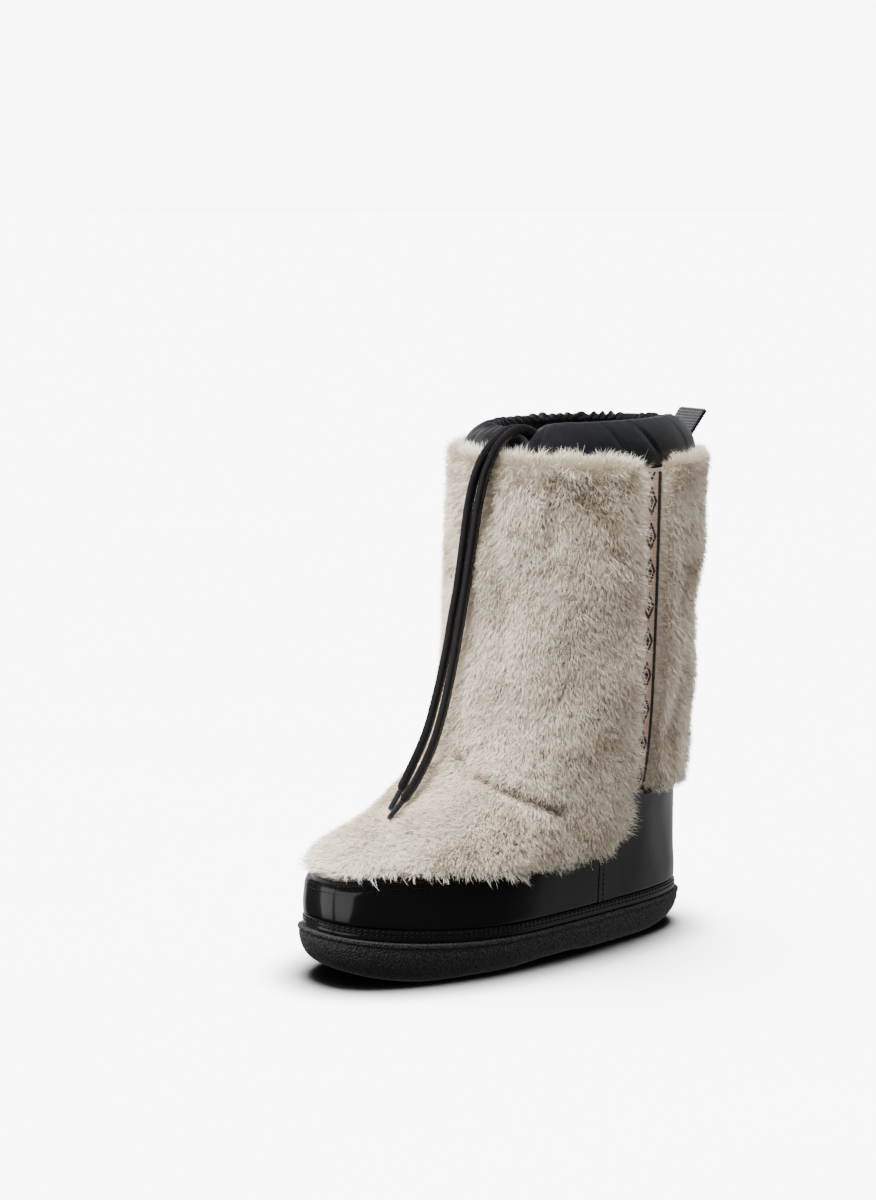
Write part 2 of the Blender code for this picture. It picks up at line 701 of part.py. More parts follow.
def make_cord(boot, name, route):
    """A strand of the braided drawcord."""
    points = curve_through(route, CORD_STEP * CORD_DIAMETER)
    data = bpy.data.curves.new(name, "CURVE")
    data.dimensions = "3D"
    data.bevel_depth = CORD_DIAMETER / 2
    data.bevel_resolution = 2
    data.use_fill_caps = True
    spline = data.splines.new("POLY")
    spline.points.add(len(points) - 1)
    for place, point in zip(spline.points, points):
        place.co = (*point, 1.0)
    data.materials.append(material(name + "_braid", (0.006, 0.006, 0.007), 0.7))
    strand = bpy.data.objects.new(name, data)
    bpy.context.scene.collection.objects.link(strand)
    strand.parent = boot


def make_aglet(boot, name, end, aim):
    """The plastic sleeve on the end of a strand, lying along the vamp towards its aim."""
    along = np.subtract(aim, end)
    along /= np.linalg.norm(along)
    across = np.cross(along, [1.0, 0.0, 0.0])
    across /= np.linalg.norm(across)
    third = np.cross(along, across)
    turn = np.linspace(0, 2 * np.pi, AGLET_SIDES, endpoint=False)[:, None]
    circle = np.cos(turn) * across + np.sin(turn) * third
    start = end + 2 * GAP * along
    rings = [start + along * share * AGLET_LENGTH + circle * radius for share, radius in AGLET_ROWS]
    finish = material(name + "_plastic", (0.010, 0.010, 0.011), 0.3)
    add_capped(name, np.array(rings), finish, boot)


def centre_on_floor(boot, pieces):
    """Moves the boot so that the origin is on the floor under the middle of its box."""
    bpy.context.view_layer.update()
    corners = [piece.matrix_world @ Vector(corner) for piece in pieces for corner in piece.bound_box]
    low = [min(c[k] for c in corners) for k in range(3)]
    high = [max(c[k] for c in corners) for k in range(3)]
    boot.location = (-(low[0] + high[0]) / 2, -(low[1] + high[1]) / 2, -low[2])


def main():
    for old in list(bpy.data.objects):
        bpy.data.objects.remove(old)
    boot = bpy.data.objects.new("boot", None)
    bpy.context.scene.collection.objects.link(boot)
    pieces = [
        make_outsole(boot),
        make_upper(boot),
        make_welt(boot),
        make_toe_guard(boot),
        make_heel_counter(boot),
        make_side_tape(boot, "tape_outer", 1),
        make_side_tape(boot, "tape_inner", -1),
        make_collar(boot),
        make_insole(boot),
        make_pull_loop(boot),
    ]
    centre_on_floor(boot, pieces)
    strands = (("inner", INNER_CORD_ROUTE, INNER_TIP), ("outer", OUTER_CORD_ROUTE, OUTER_TIP))
    for side, route, tip in strands:
        make_cord(boot, "drawcord_" + side, route)
        make_aglet(boot, "aglet_" + side, route[-1], tip)


main()
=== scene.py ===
"""Looks of the left-foot fur snow boot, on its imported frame.

Metres, +Z up. The toe points to -Y, the heel to +Y, and the outer side of the foot is +X. Pieces are
worked out in the boot's own frame, where the middle of the sole's length is at y = 0.
"""

import math

import bmesh
import bpy
import numpy as np
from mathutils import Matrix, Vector


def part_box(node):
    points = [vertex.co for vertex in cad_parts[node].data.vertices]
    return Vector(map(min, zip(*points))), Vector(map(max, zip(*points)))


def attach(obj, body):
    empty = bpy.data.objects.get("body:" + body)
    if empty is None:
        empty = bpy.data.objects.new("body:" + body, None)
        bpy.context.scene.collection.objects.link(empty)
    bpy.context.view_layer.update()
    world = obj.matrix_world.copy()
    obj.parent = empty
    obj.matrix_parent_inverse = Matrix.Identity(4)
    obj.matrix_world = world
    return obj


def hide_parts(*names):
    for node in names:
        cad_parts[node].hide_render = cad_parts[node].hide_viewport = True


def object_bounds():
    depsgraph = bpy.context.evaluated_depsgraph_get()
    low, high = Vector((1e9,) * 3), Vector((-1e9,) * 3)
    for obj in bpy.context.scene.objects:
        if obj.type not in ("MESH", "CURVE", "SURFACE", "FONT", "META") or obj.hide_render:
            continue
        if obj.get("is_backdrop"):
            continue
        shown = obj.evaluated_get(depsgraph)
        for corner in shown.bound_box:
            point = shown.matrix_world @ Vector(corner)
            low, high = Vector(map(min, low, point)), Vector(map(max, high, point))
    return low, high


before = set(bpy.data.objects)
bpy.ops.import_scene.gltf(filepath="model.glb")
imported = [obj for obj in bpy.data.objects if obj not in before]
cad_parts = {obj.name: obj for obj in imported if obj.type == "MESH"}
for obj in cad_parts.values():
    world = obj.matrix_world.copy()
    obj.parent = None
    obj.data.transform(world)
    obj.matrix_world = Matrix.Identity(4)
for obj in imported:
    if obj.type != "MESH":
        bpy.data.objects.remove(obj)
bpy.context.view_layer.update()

# Cup sole
# One black rubber moulding with a stippled sidewall and a thin lip that carries the welt. Toe and heel
# are sprung, and straight grooves part the blocks under the ball and the heel.

SOLE_LENGTH = 0.290
BALL_WIDTH = 0.116
HEEL_WIDTH = 0.094
SOLE_HEIGHT = 0.0230
TOE_RISE = 0.0115
TOE_RISE_POWER = 2.2
TOE_SPRING = 0.014
HEEL_SPRING = 0.008
ARCH_RISE = 0.0015
TOE_SWING = 0.002
TOE_FLAT_END = 0.52
HEEL_FLAT_END = 0.62
ARCH_FRONT = -0.18
ARCH_BACK = 0.34
ARCH_BLEND = 0.2
WAIST_START = -0.65
WAIST_LENGTH = 1.05
SOLE_SQUARE = 2.5
# Sidewall rows: inset from the widest edge, share of the height there
SIDEWALL_ROWS = (
    (0.0011, 1.00),
    (0.0001, 0.975),
    (0.0000, 0.93),
    (0.0002, 0.89),
    (0.0008, 0.865),
    (0.0008, 0.72),
    (0.0018, 0.48),
    (0.0042, 0.25),
    (0.0085, 0.08),
    (0.0140, 0.00),
)
# Rings of the top and the tread inside the sidewall, as shares of the outline
TOP_SHARES = (0.1, 0.4, 0.7, 0.9)
TREAD_SHARES = (0.9, 0.75, 0.6, 0.45, 0.3, 0.15)
SOLE_COLUMNS = 240
SIDEWALL_STEPS = 44
GROOVE_WIDTH = 0.005
GROOVE_DEPTH = 0.003
GROOVE_PITCH = 0.014
# Groove rows: y of the first, count, half length
GROOVE_ROWS = ((-0.080, 4, 0.038), (0.056, 3, 0.028))

sole_low, sole_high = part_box("outsole")
boot_place = np.array([0.0, (sole_low.y + sole_high.y) / 2, 0.0])


def linear(hex_colour):
    """A linear colour from an sRGB hex value."""
    parts = [int(hex_colour[k : k + 2], 16) / 255 for k in (0, 2, 4)]
    return (*[p / 12.92 if p <= 0.04045 else ((p + 0.055) / 1.055) ** 2.4 for p in parts], 1.0)


def new_finish(name):
    """An empty node material."""
    finish = bpy.data.materials.new(name)
    finish.use_nodes = True
    finish.node_tree.nodes.clear()
    return finish


def add_node(finish, kind, inputs, **settings):
    """Adds a node with its settings. An input takes a value, an output, or a node for its first output."""
    made = finish.node_tree.nodes.new("ShaderNode" + kind)
    for name, value in settings.items():
        setattr(made, name, value)
    for name, value in inputs.items():
        if isinstance(value, bpy.types.Node):
            value = next(output for output in value.outputs if output.enabled)
        if isinstance(value, bpy.types.NodeSocket):
            finish.node_tree.links.new(value, made.inputs[name])
        else:
            made.inputs[name].default_value = value
    return made


def add_piece(name, points, faces, *finishes, crease=45.0):
    """A smooth piece from points in the boot's own frame, with its faces turned out."""
    mesh = bpy.data.meshes.new(name)
    mesh.from_pydata((np.asarray(points) + boot_place).tolist(), [], faces)
    work = bmesh.new()
    work.from_mesh(mesh)
    bmesh.ops.recalc_face_normals(work, faces=work.faces)
    work.to_mesh(mesh)
    work.free()
    mesh.shade_smooth()
    mesh.set_sharp_from_angle(angle=math.radians(crease))
    for finish in finishes:
        mesh.materials.append(finish)
    piece = bpy.data.objects.new(name, mesh)
    bpy.context.scene.collection.objects.link(piece)
    return piece


def enter(piece, slot, *nodes):
    """Puts a piece on the boot's one body and hides the CAD nodes that it stands for. The slot is not used.
    """
    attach(piece, "root")
    for node in nodes:
        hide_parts(node)


def grid_faces(rows, columns, close_rows=False, close_columns=False):
    """Quads between neighbouring rows and columns of a grid of points."""
    r = np.arange(rows if close_rows else rows - 1)[:, None]
    c = np.arange(columns if close_columns else columns - 1)[None]
    below, above = r * columns, (r + 1) % rows * columns
    right = (c + 1) % columns
    quads = np.stack([below + c, below + right, above + right, above + c], axis=-1)
    return quads.reshape(-1, 4).tolist()


def capped_faces(rows, columns):
    """Faces of a tube of rings with a flat face on each end."""
    last = (rows - 1) * columns
    return grid_faces(rows, columns, close_columns=True) + [
        list(range(columns - 1, -1, -1)),
        list(range(last, last + columns)),
    ]


def smooth(knots, values, at):
    """A curve through the values at the knots that never overshoots them."""
    knots, values, at = (np.asarray(x, float) for x in (knots, values, at))
    step = np.diff(knots)
    slope = np.diff(values) / step
    product = slope[:-1] * slope[1:]
    total = slope[:-1] + slope[1:]
    inner = np.where(product > 0, 2 * product / np.where(product > 0, total, 1), 0)
    tangent = np.concatenate([slope[:1], inner, slope[-1:]])
    i = np.clip(np.searchsorted(knots, at, side="right") - 1, 0, len(step) - 1)
    t = np.clip((at - knots[i]) / step[i], 0, 1)
    return (
        values[i] * (2 * t**3 - 3 * t**2 + 1)
        + values[i + 1] * (3 * t**2 - 2 * t**3)
        + step[i] * (tangent[i] * (t**3 - 2 * t**2 + t) + tangent[i + 1] * (t**3 - t**2))
    )


def profile(rows, steps):
    """A table of profile rows read at even steps as smooth columns."""
    at = np.linspace(0, len(rows) - 1, steps + 1)
    return np.stack([smooth(range(len(rows)), values, at) for values in zip(*rows)], axis=1)


def ease(x):
    """0 to 1 with level ends."""
    x = np.clip(x, 0, 1)
    return x * x * (3 - 2 * x)


def signed_power(x, power):
    """The power of a number's size, with its sign kept."""
    return np.sign(x) * np.abs(x) ** power


def sole_top(y):
    """Height of the sole's upper edge: level, then rising to the toe."""
    toe = np.clip(-np.asarray(y, float) / (SOLE_LENGTH / 2), 0, 1)
    return SOLE_HEIGHT + TOE_RISE * toe**TOE_RISE_POWER


def sole_bottom(y):
    """Height of the tread: flat under the ball and the heel, arched between, sprung at both ends."""
    share = np.asarray(y, float) / (SOLE_LENGTH / 2)
    toe = TOE_SPRING * np.clip((-share - TOE_FLAT_END) / (1 - TOE_FLAT_END), 0, 1) ** 2
    heel = HEEL_SPRING * np.clip((share - HEEL_FLAT_END) / (1 - HEEL_FLAT_END), 0, 1) ** 2
    arch = ARCH_RISE * ease((share - ARCH_FRONT) / ARCH_BLEND) * ease((ARCH_BACK - share) / ARCH_BLEND)
    return toe + heel + arch


def ring_shape(turn, ball_half, heel_half, square):
    """(share along from heel -1 to toe 1, half width there with its sign) of a rounded ring."""
    angle = np.radians(turn)
    along = signed_power(np.cos(angle), 2 / square)
    across = signed_power(np.sin(angle), 2 / square)
    half = heel_half + (ball_half - heel_half) * ease((along - WAIST_START) / WAIST_LENGTH)
    return along, half * across


def toe_swing(along):
    """The toe of a left boot leans to the inner side."""
    return -TOE_SWING * np.clip(along, 0, 1) ** 2


def sole_outline(inset):
    """(x, y) of the sole's edge drawn in by inset, all round."""
    turn = np.linspace(0, 360, SOLE_COLUMNS, endpoint=False)
    along, x = ring_shape(turn, BALL_WIDTH / 2 - inset, HEEL_WIDTH / 2 - inset, SOLE_SQUARE)
    return x + toe_swing(along), -along * (SOLE_LENGTH / 2 - inset)


def sole_ring(share, height):
    """A ring of the sole's flat part shrunk to a share of its size, at the height the function gives."""
    x, y = sole_outline(SIDEWALL_ROWS[-1][0])
    return np.stack([x * share, y * share, height(y * share)], axis=-1)


sole_rings = [sole_ring(share, sole_top) for share in TOP_SHARES]
for inset, share in profile(SIDEWALL_ROWS, SIDEWALL_STEPS):
    x, y = sole_outline(inset)
    bottom, top = sole_bottom(y), sole_top(y)
    sole_rings.append(np.stack([x, y, bottom + (top - bottom) * share], axis=-1))
sole_rings += [sole_ring(share, sole_bottom) for share in TREAD_SHARES]

# Moulded rubber: dull black with a fine spark-eroded stipple, a little polished where it bulges
RUBBER_STIPPLE = 0.0014
RUBBER_DUST = 0.018
rubber = new_finish("moulded_rubber")
place = add_node(rubber, "TexCoord", {}).outputs["Object"]
stipple = add_node(rubber, "TexVoronoi", {"Vector": place, "Scale": 1 / RUBBER_STIPPLE})
dust = add_node(rubber, "TexNoise", {"Vector": place, "Scale": 1 / RUBBER_DUST, "Detail": 4.0})
pits = add_node(
    rubber, "MapRange", {"Value": stipple.outputs["Distance"], "From Min": 0.15, "From Max": 0.65}
)
# Painted shade: the rubber's colour is lighter on the stipple's domes and darker in its pits
stipple_painted_shade = add_node(
    rubber, "Mix", {"Factor": pits, 6: linear("404040"), 7: linear("1A1A1A")}, data_type="RGBA"
)
dusted = add_node(
    rubber, "Mix", {"Factor": dust.outputs["Fac"], 6: stipple_painted_shade, 7: linear("282828")}, data_type="RGBA"
)
gloss = add_node(rubber, "MapRange", {"Value": stipple.outputs["Distance"], "To Min": 0.46, "To Max": 0.72})
bumps = add_node(
    rubber,
    "Bump",
    {"Height": stipple.outputs["Distance"], "Strength": 1.0, "Distance": 0.0007},
    invert=True,
)
shader = add_node(
    rubber, "BsdfPrincipled", {"Base Color": dusted, "Roughness": gloss, "Normal": bumps, "IOR": 1.52}
)
add_node(rubber, "OutputMaterial", {"Surface": shader})

sole = add_piece(
    "cup_sole", np.concatenate(sole_rings), capped_faces(len(sole_rings), SOLE_COLUMNS), rubber, crease=50.0
)

groove_points, groove_faces = [], []
BOX_FACES = ((0, 1, 3, 2), (4, 6, 7, 5), (0, 4, 5, 1), (2, 3, 7, 6), (0, 2, 6, 4), (1, 5, 7, 3))
for first_y, count, half_length in GROOVE_ROWS:
    for y in first_y + GROOVE_PITCH * np.arange(count):
        spans = (
            (-half_length, half_length),
            (y - GROOVE_WIDTH / 2, y + GROOVE_WIDTH / 2),
            (-SOLE_HEIGHT, float(sole_bottom(y)) + GROOVE_DEPTH),
        )
        groove_faces += [[len(groove_points) + i for i in face] for face in BOX_FACES]
        groove_points += [(x, y, z) for x in spans[0] for y in spans[1] for z in spans[2]]
grooves = add_piece("grooves", groove_points, groove_faces)
cut = sole.modifiers.new("grooves", "BOOLEAN")
cut.operation = "DIFFERENCE"
cut.solver = "EXACT"
cut.object = grooves
depsgraph = bpy.context.evaluated_depsgraph_get()
sole.data = bpy.data.meshes.new_from_object(sole.evaluated_get(depsgraph))
sole.modifiers.clear()
bpy.data.objects.remove(grooves)
enter(sole, "sole_rubber", "outsole")

# Upper
# A lasted backing cloth, padded and lined, that carries the fur panels and the patent panels. It is one
# wall round the foot and leg, worked out as a stack of rings that tilt between a front and a back point.

WALL = 0.004
PILE = 0.012
FUR_LIP = 0.013
GAP = 0.0003
SHELL_COLUMNS = ("front_y", "front_rise", "back_y", "back_rise", "ball_half", "heel_half", "square")
SHELL_ROWS = (
    (-0.1385, 0.000, 0.1395, 0.000, 0.0525, 0.0415, 2.50),
    (-0.1395, 0.014, 0.1395, 0.014, 0.0535, 0.0430, 2.50),
    (-0.1385, 0.028, 0.1385, 0.030, 0.0535, 0.0445, 2.45),
    (-0.1290, 0.042, 0.1375, 0.050, 0.0530, 0.0470, 2.40),
    (-0.0990, 0.056, 0.1365, 0.070, 0.0530, 0.0500, 2.35),
    (-0.0660, 0.073, 0.1355, 0.092, 0.0540, 0.0535, 2.30),
    (-0.0400, 0.096, 0.1350, 0.115, 0.0565, 0.0570, 2.25),
    (-0.0240, 0.128, 0.1345, 0.145, 0.0595, 0.0600, 2.20),
    (-0.0165, 0.175, 0.1355, 0.185, 0.0620, 0.0625, 2.15),
    (-0.0125, 0.230, 0.1385, 0.232, 0.0645, 0.0645, 2.15),
    (-0.0095, 0.290, 0.1430, 0.290, 0.0665, 0.0665, 2.15),
)
SHEER_FADE = 0.120
WELT_HEIGHT = 0.0075
TAPE_GROUND = 0.0008
TAPE_HALF = 0.0100
TAPE_FOOT_Y = 0.071
TAPE_FOOT_RISE = 0.080
TAPE_TOP_Y = 0.069
PILE_FALL = 0.009
# Rows of the fur's lower edge: y, rise over the sole
FUR_EDGE_ROWS = (
    (-0.150, 0.0310),
    (-0.135, 0.0330),
    (-0.110, 0.0395),
    (-0.080, 0.0415),
    (0.000, 0.0425),
    (0.030, 0.0440),
    (0.048, 0.0470),
    (0.055, 0.0530),
    (0.060, 0.0650),
    (0.063, 0.0790),
    (0.160, 0.0780),
)
# Stations number the lines down the shell on either side: 0 is the middle of the toe and 6 that of the
# heel. Those of the inner side are negative.
FRONT_FUR, TAPE_FRONT, TAPE_MIDDLE, TAPE_REAR, BACK_FUR, HEEL = 1, 2, 3, 4, 5, 6
LOOP_WIDTH = 0.025
LOOP_PARTING = 0.016
PARTED_LIP = 0.1
# The lip's height along the top edge as shares: lift of the inner front, drop towards the tapes, and height
# behind at the tapes with its rise from there, each with the station where it starts and its run
INNER_LIFT = (0.35, 0.05, 0.35)
SIDE_DROP = (0.55, 0.55, 0.6)
BACK_LIP = 0.35
BACK_LIFT = (0.35, TAPE_REAR, 1.3)
PILE_POWER = 0.6
STATION_STEP = 0.02
LEVEL_STEP = 0.004


def shell_row(level):
    """The shell's table read at the given levels, from 0 at the sole to 1 at the collar seam."""
    knots = np.linspace(0, 1, len(SHELL_ROWS))
    return {name: smooth(knots, values, level) for name, values in zip(SHELL_COLUMNS, zip(*SHELL_ROWS))}


def turn_through(row, y):
    """The turn at which each ring passes this y on the outer side."""
    along = 2 * (y - row["back_y"]) / (row["front_y"] - row["back_y"]) - 1
    return np.degrees(np.arccos(np.clip(signed_power(along, row["square"] / 2), -1, 1)))


def station_turn(station, row):
    """The turn of a station on each ring. The tape's own stations keep to its straight line."""
    rise = (row["front_rise"] + row["back_rise"]) / 2
    up = (rise - TAPE_FOOT_RISE) / (SHELL_ROWS[-1][1] - TAPE_FOOT_RISE)
    tape_y = TAPE_FOOT_Y + (TAPE_TOP_Y - TAPE_FOOT_Y) * up
    steps = (-TAPE_HALF - PILE_FALL, -TAPE_HALF, 0.0, TAPE_HALF, TAPE_HALF + PILE_FALL)
    turns = [np.zeros_like(rise)] + [turn_through(row, tape_y + step) for step in steps]
    marks = np.stack(turns + [np.full_like(rise, 180.0)])
    low = np.clip(np.abs(station).astype(int), 0, HEEL - 1)
    share = np.abs(station) - low
    before = np.take_along_axis(marks, low[None], 0)[0]
    after = np.take_along_axis(marks, low[None] + 1, 0)[0]
    return np.sign(station) * (before + (after - before) * share)


def shell(station, level):
    """The outside of the backing cloth at the given stations and levels."""
    station, level = np.broadcast_arrays(np.asarray(station, float), np.asarray(level, float))
    row = shell_row(level)
    along, x = ring_shape(station_turn(station, row), row["ball_half"], row["heel_half"], row["square"])
    front_share = (1 + along) / 2
    y = row["back_y"] + (row["front_y"] - row["back_y"]) * front_share
    rise = row["back_rise"] + (row["front_rise"] - row["back_rise"]) * front_share
    fade = ease(1 - rise / SHEER_FADE)
    z = SOLE_HEIGHT + rise + fade * (sole_top(y) - SOLE_HEIGHT)
    return np.stack([x + toe_swing(along) * fade, y, z], axis=-1)


def unit(vectors):
    """Vectors brought to length 1."""
    return vectors / np.maximum(np.linalg.norm(vectors, axis=-1, keepdims=True), 1e-12)


def shell_ways(station, level):
    """Unit vectors at the given places: along the stations, up the levels, and outward."""
    station, level = np.broadcast_arrays(np.asarray(station, float), np.asarray(level, float))
    ahead, behind = station + STATION_STEP, station - STATION_STEP
    ahead = np.where(ahead > HEEL, ahead - 2 * HEEL, ahead)
    behind = np.where(behind < -HEEL, behind + 2 * HEEL, behind)
    across = shell(ahead, level) - shell(behind, level)
    above, below = np.minimum(level + LEVEL_STEP, 1), np.maximum(level - LEVEL_STEP, 0)
    upward = shell(station, above) - shell(station, below)
    return unit(across), unit(upward), unit(np.cross(across, upward))


def offset_shell(station, level, out):
    """Shell points moved out, or in where out is negative."""
    station, level, out = np.broadcast_arrays(*(np.asarray(x, float) for x in (station, level, out)))
    return shell(station, level) + out[..., None] * shell_ways(station, level)[2]


SCAN_LEVELS = np.linspace(0, 1, 241)


def level_where(station, rise_at):
    """The lowest level at each station where the shell has risen to what rise_at gives for its y."""
    points = shell(np.asarray(station)[:, None], SCAN_LEVELS[None])
    over = points[..., 2] - sole_top(points[..., 1]) - rise_at(points[..., 1])
    k = np.argmax(over > 0, axis=1)
    each = np.arange(len(k))
    before, after = over[each, k - 1], over[each, k]
    return SCAN_LEVELS[k - 1] + before / (before - after) * SCAN_LEVELS[1]


def fur_edge_rise(y):
    """Rise of the fur's lower edge, for places along the boot."""
    edge_y, edge_rise = zip(*FUR_EDGE_ROWS)
    return smooth(edge_y, edge_rise, y)


def pile_at(station):
    """The pile's depth, which falls to the bare ground along each side tape."""
    side = np.abs(station)
    clear = np.clip(np.maximum(TAPE_FRONT - side, side - TAPE_REAR), 0, 1)
    return TAPE_GROUND + (PILE - TAPE_GROUND) * np.sin(np.pi / 2 * clear) ** PILE_POWER


def lip_height(station):
    """Height of the fur's lip over the collar seam. It parts for the pull loop."""
    seam = shell(station, np.ones_like(station))
    apart = ease((np.abs(seam[..., 0]) - LOOP_WIDTH / 2) / LOOP_PARTING)
    behind = seam[..., 1] > TAPE_TOP_Y
    side = np.abs(station)
    lift, start, run = INNER_LIFT
    front_slope = 1 + lift * ease((start - station) / run)
    drop, start, run = SIDE_DROP
    front_slope = front_slope - drop * ease((side - start) / run)
    lift, start, run = BACK_LIFT
    slope = np.where(behind, BACK_LIP + lift * ease((side - start) / run), front_slope)
    return FUR_LIP * slope * pile_at(station) / PILE * np.where(behind, np.maximum(apart, PARTED_LIP), 1)


def whole_ring(toe_steps, fall_steps, tape_steps, heel_steps):
    """Stations all round the boot, closer together along the tapes."""
    side = np.concatenate(
        [
            np.linspace(0, FRONT_FUR, toe_steps, endpoint=False),
            np.linspace(FRONT_FUR, TAPE_FRONT, fall_steps, endpoint=False),
            np.linspace(TAPE_FRONT, TAPE_REAR, tape_steps, endpoint=False),
            np.linspace(TAPE_REAR, BACK_FUR, fall_steps, endpoint=False),
            np.linspace(BACK_FUR, HEEL, heel_steps + 1),
        ]
    )
    return np.concatenate([side, -side[-2:0:-1]])


ROOT_DEPTH = 0.60
LIP_MIDDLE = (0.38, 0.22)
LIP_REACH = (0.20, 0.30)
FRONT_SWELL = 0.0009
BACK_SWELL = 0.0016
SWELL_SIZE = 0.055
FRONT_EDGE_ROUND = 0.010
BACK_EDGE_ROUND = 0.017
FRONT_EDGE_CUT = 0.60
BACK_EDGE_CUT = 0.75
CREASE_PRESS = 0.85
edge_stations = np.linspace(-HEEL, HEEL, 721)
edge_levels = level_where(edge_stations, fur_edge_rise)
# Creases of the pile, as troughs: (station, level) places along each, half width, depth as a share
CREASES = (
    (((0.10, 0.640), (0.23, 0.603), (0.43, 0.573), (0.55, 0.550), (0.77, 0.493)), 0.0036, 0.62),
    (((-0.10, 0.640), (-0.23, 0.603), (-0.43, 0.573), (-0.55, 0.550), (-0.77, 0.493)), 0.0045, 0.60),
    (((0.70, 0.975), (0.80, 0.962), (0.88, 0.940), (0.93, 0.912)), 0.0060, 0.26),
    (((0.53, 0.990), (0.54, 0.967), (0.53, 0.933)), 0.0050, 0.28),
    (((0.12, 0.985), (0.20, 0.923), (0.25, 0.863), (0.27, 0.800)), 0.0060, 0.30),
    (((5.07, 0.763), (5.08, 0.653), (5.08, 0.553)), 0.0070, 0.16),
    (((-5.07, 0.763), (-5.08, 0.653), (-5.08, 0.553)), 0.0070, 0.16),
)


# Waves that make up a drift: how many, shortest and longest as shares of the plain one, and their scale
DRIFT_WAVES = 9
DRIFT_RANGE = (0.6, 1.5)
DRIFT_SCALE = 2.6


def drift(points, size, seed):
    """Smooth wandering values, mostly from -1 to 1, that change over about this size."""
    draw = np.random.default_rng(seed)
    ways = unit(draw.normal(size=(DRIFT_WAVES, 3)))
    waves = ways * draw.uniform(*DRIFT_RANGE, (DRIFT_WAVES, 1)) * 2 * np.pi / size
    phases = draw.uniform(0, 2 * np.pi, DRIFT_WAVES)
    return np.sin(np.asarray(points) @ waves.T + phases).sum(-1) / DRIFT_SCALE


def line_share(points, places, half_width):
    """1 on the line through these (station, level) places of the pile, fading out past its half width."""
    line = offset_shell([p[0] for p in places], [p[1] for p in places], PILE)
    away = np.full(points.shape[:-1], np.inf)
    for start, end in zip(line, line[1:]):
        way = end - start
        share = np.clip((points - start) @ way / (way @ way), 0, 1)
        away = np.minimum(away, np.linalg.norm(points - start - share[..., None] * way, axis=-1))
    return np.exp(-((away / half_width) ** 2))


def fur_bed(station, level):
    """The fur ground's height over the shell, how far a crease presses it down, way to the lower edge."""
    station, level = np.broadcast_arrays(np.asarray(station, float), np.asarray(level, float))
    pile = pile_at(station)
    top = offset_shell(station, level, pile)
    trough = np.zeros(station.shape)
    for places, half_width, depth in CREASES:
        trough = np.maximum(trough, depth * line_share(top, places, half_width))
    behind = np.abs(station) > TAPE_MIDDLE
    swell = np.where(behind, BACK_SWELL, FRONT_SWELL) * drift(top, SWELL_SIZE, 24)
    edge = shell(station, np.interp(station, edge_stations, edge_levels))
    over_edge = np.linalg.norm(shell(station, level) - edge, axis=-1)
    inset = 1 - np.clip(over_edge / np.where(behind, BACK_EDGE_ROUND, FRONT_EDGE_ROUND), 0, 1)
    round_off = 1 - np.where(behind, BACK_EDGE_CUT, FRONT_EDGE_CUT) * (1 - np.sqrt(1 - inset**2))
    height = (ROOT_DEPTH * (1 - CREASE_PRESS * trough) + swell / PILE) * pile * round_off
    return height, trough, over_edge


upright = np.array([0.0, 0.0, 1.0])


def lip_ground(station, turn):
    """The ground of the fur's rounded top edge, from its outer side at 0 degrees over its top at 90."""
    out = LIP_MIDDLE[0] + LIP_REACH[0] * np.cos(np.radians(turn))
    rise = LIP_MIDDLE[1] + LIP_REACH[1] * np.sin(np.radians(turn))
    upward = upright * (rise * lip_height(station))[..., None]
    return offset_shell(station, 1, out * pile_at(station)) + upward


backing_stations = whole_ring(56, 6, 4, 34)
backing_edge = level_where(backing_stations, fur_edge_rise)
LASTED_STEPS = 8
FUR_STEPS = 90
LIP_TURNS = (0, 35, 65, 90, 115, 145, 180)
LINING_RINGS = 26
lasted_shares = np.linspace(0, 1, LASTED_STEPS + 1)
backing_rows = [offset_shell(backing_stations, backing_edge * share, 0) for share in lasted_shares]
for share in np.linspace(0, 1, FUR_STEPS + 1)[1:]:
    level = backing_edge + (1 - backing_edge) * share
    bed = fur_bed(backing_stations, level)[0]
    backing_rows.append(offset_shell(backing_stations, level, bed))
backing_rows += [lip_ground(backing_stations, turn) for turn in LIP_TURNS]
backing_rows.append(offset_shell(backing_stations, 1, 0))
lining_start = len(backing_rows)
backing_rows += [offset_shell(backing_stations, level, -WALL) for level in np.linspace(1, 0, LINING_RINGS)]
backing_points = np.concatenate(backing_rows) + GAP * upright


def noise_finish(name, size, noise, colours, roughness, bump, sockets):
    """A material whose colour, roughness and bumps follow one noise of this size."""
    finish = new_finish(name)
    place = add_node(finish, "TexCoord", {}).outputs["Object"]
    grain = add_node(finish, "TexNoise", {"Vector": place, "Scale": 1 / size, **noise}).outputs["Fac"]
    dark, light = (linear(colour) for colour in colours)
    tint = add_node(finish, "Mix", {"Factor": grain, 6: dark, 7: light}, data_type="RGBA")
    if isinstance(roughness, tuple):
        low, high = roughness
        roughness = add_node(finish, "MapRange", {"Value": grain, "To Min": low, "To Max": high})
    strength, depth = bump
    bumps = add_node(finish, "Bump", {"Height": grain, "Strength": strength, "Distance": depth})
    surface = {"Base Color": tint, "Roughness": roughness, "Normal": bumps, **sockets}
    add_node(finish, "OutputMaterial", {"Surface": add_node(finish, "BsdfPrincipled", surface)})
    return finish


# Fur ground: the knitted backing seen between the strands, brownish and dull
fur_ground = noise_finish(
    "knitted_fur_ground", 0.004, {"Detail": 3.0}, ("C1B4A2", "E0D6C7"), 0.95, (0.7, 0.002), {}
)
# Brushed fleece lining: charcoal, matt, with a soft clumped nap
fleece_noise = {"Detail": 4.0, "Roughness": 0.7}
fleece = noise_finish(
    "brushed_fleece", 0.003, fleece_noise, ("252629", "3E4044"), 0.95, (0.6, 0.0015), {"Sheen Weight": 0.3}
)

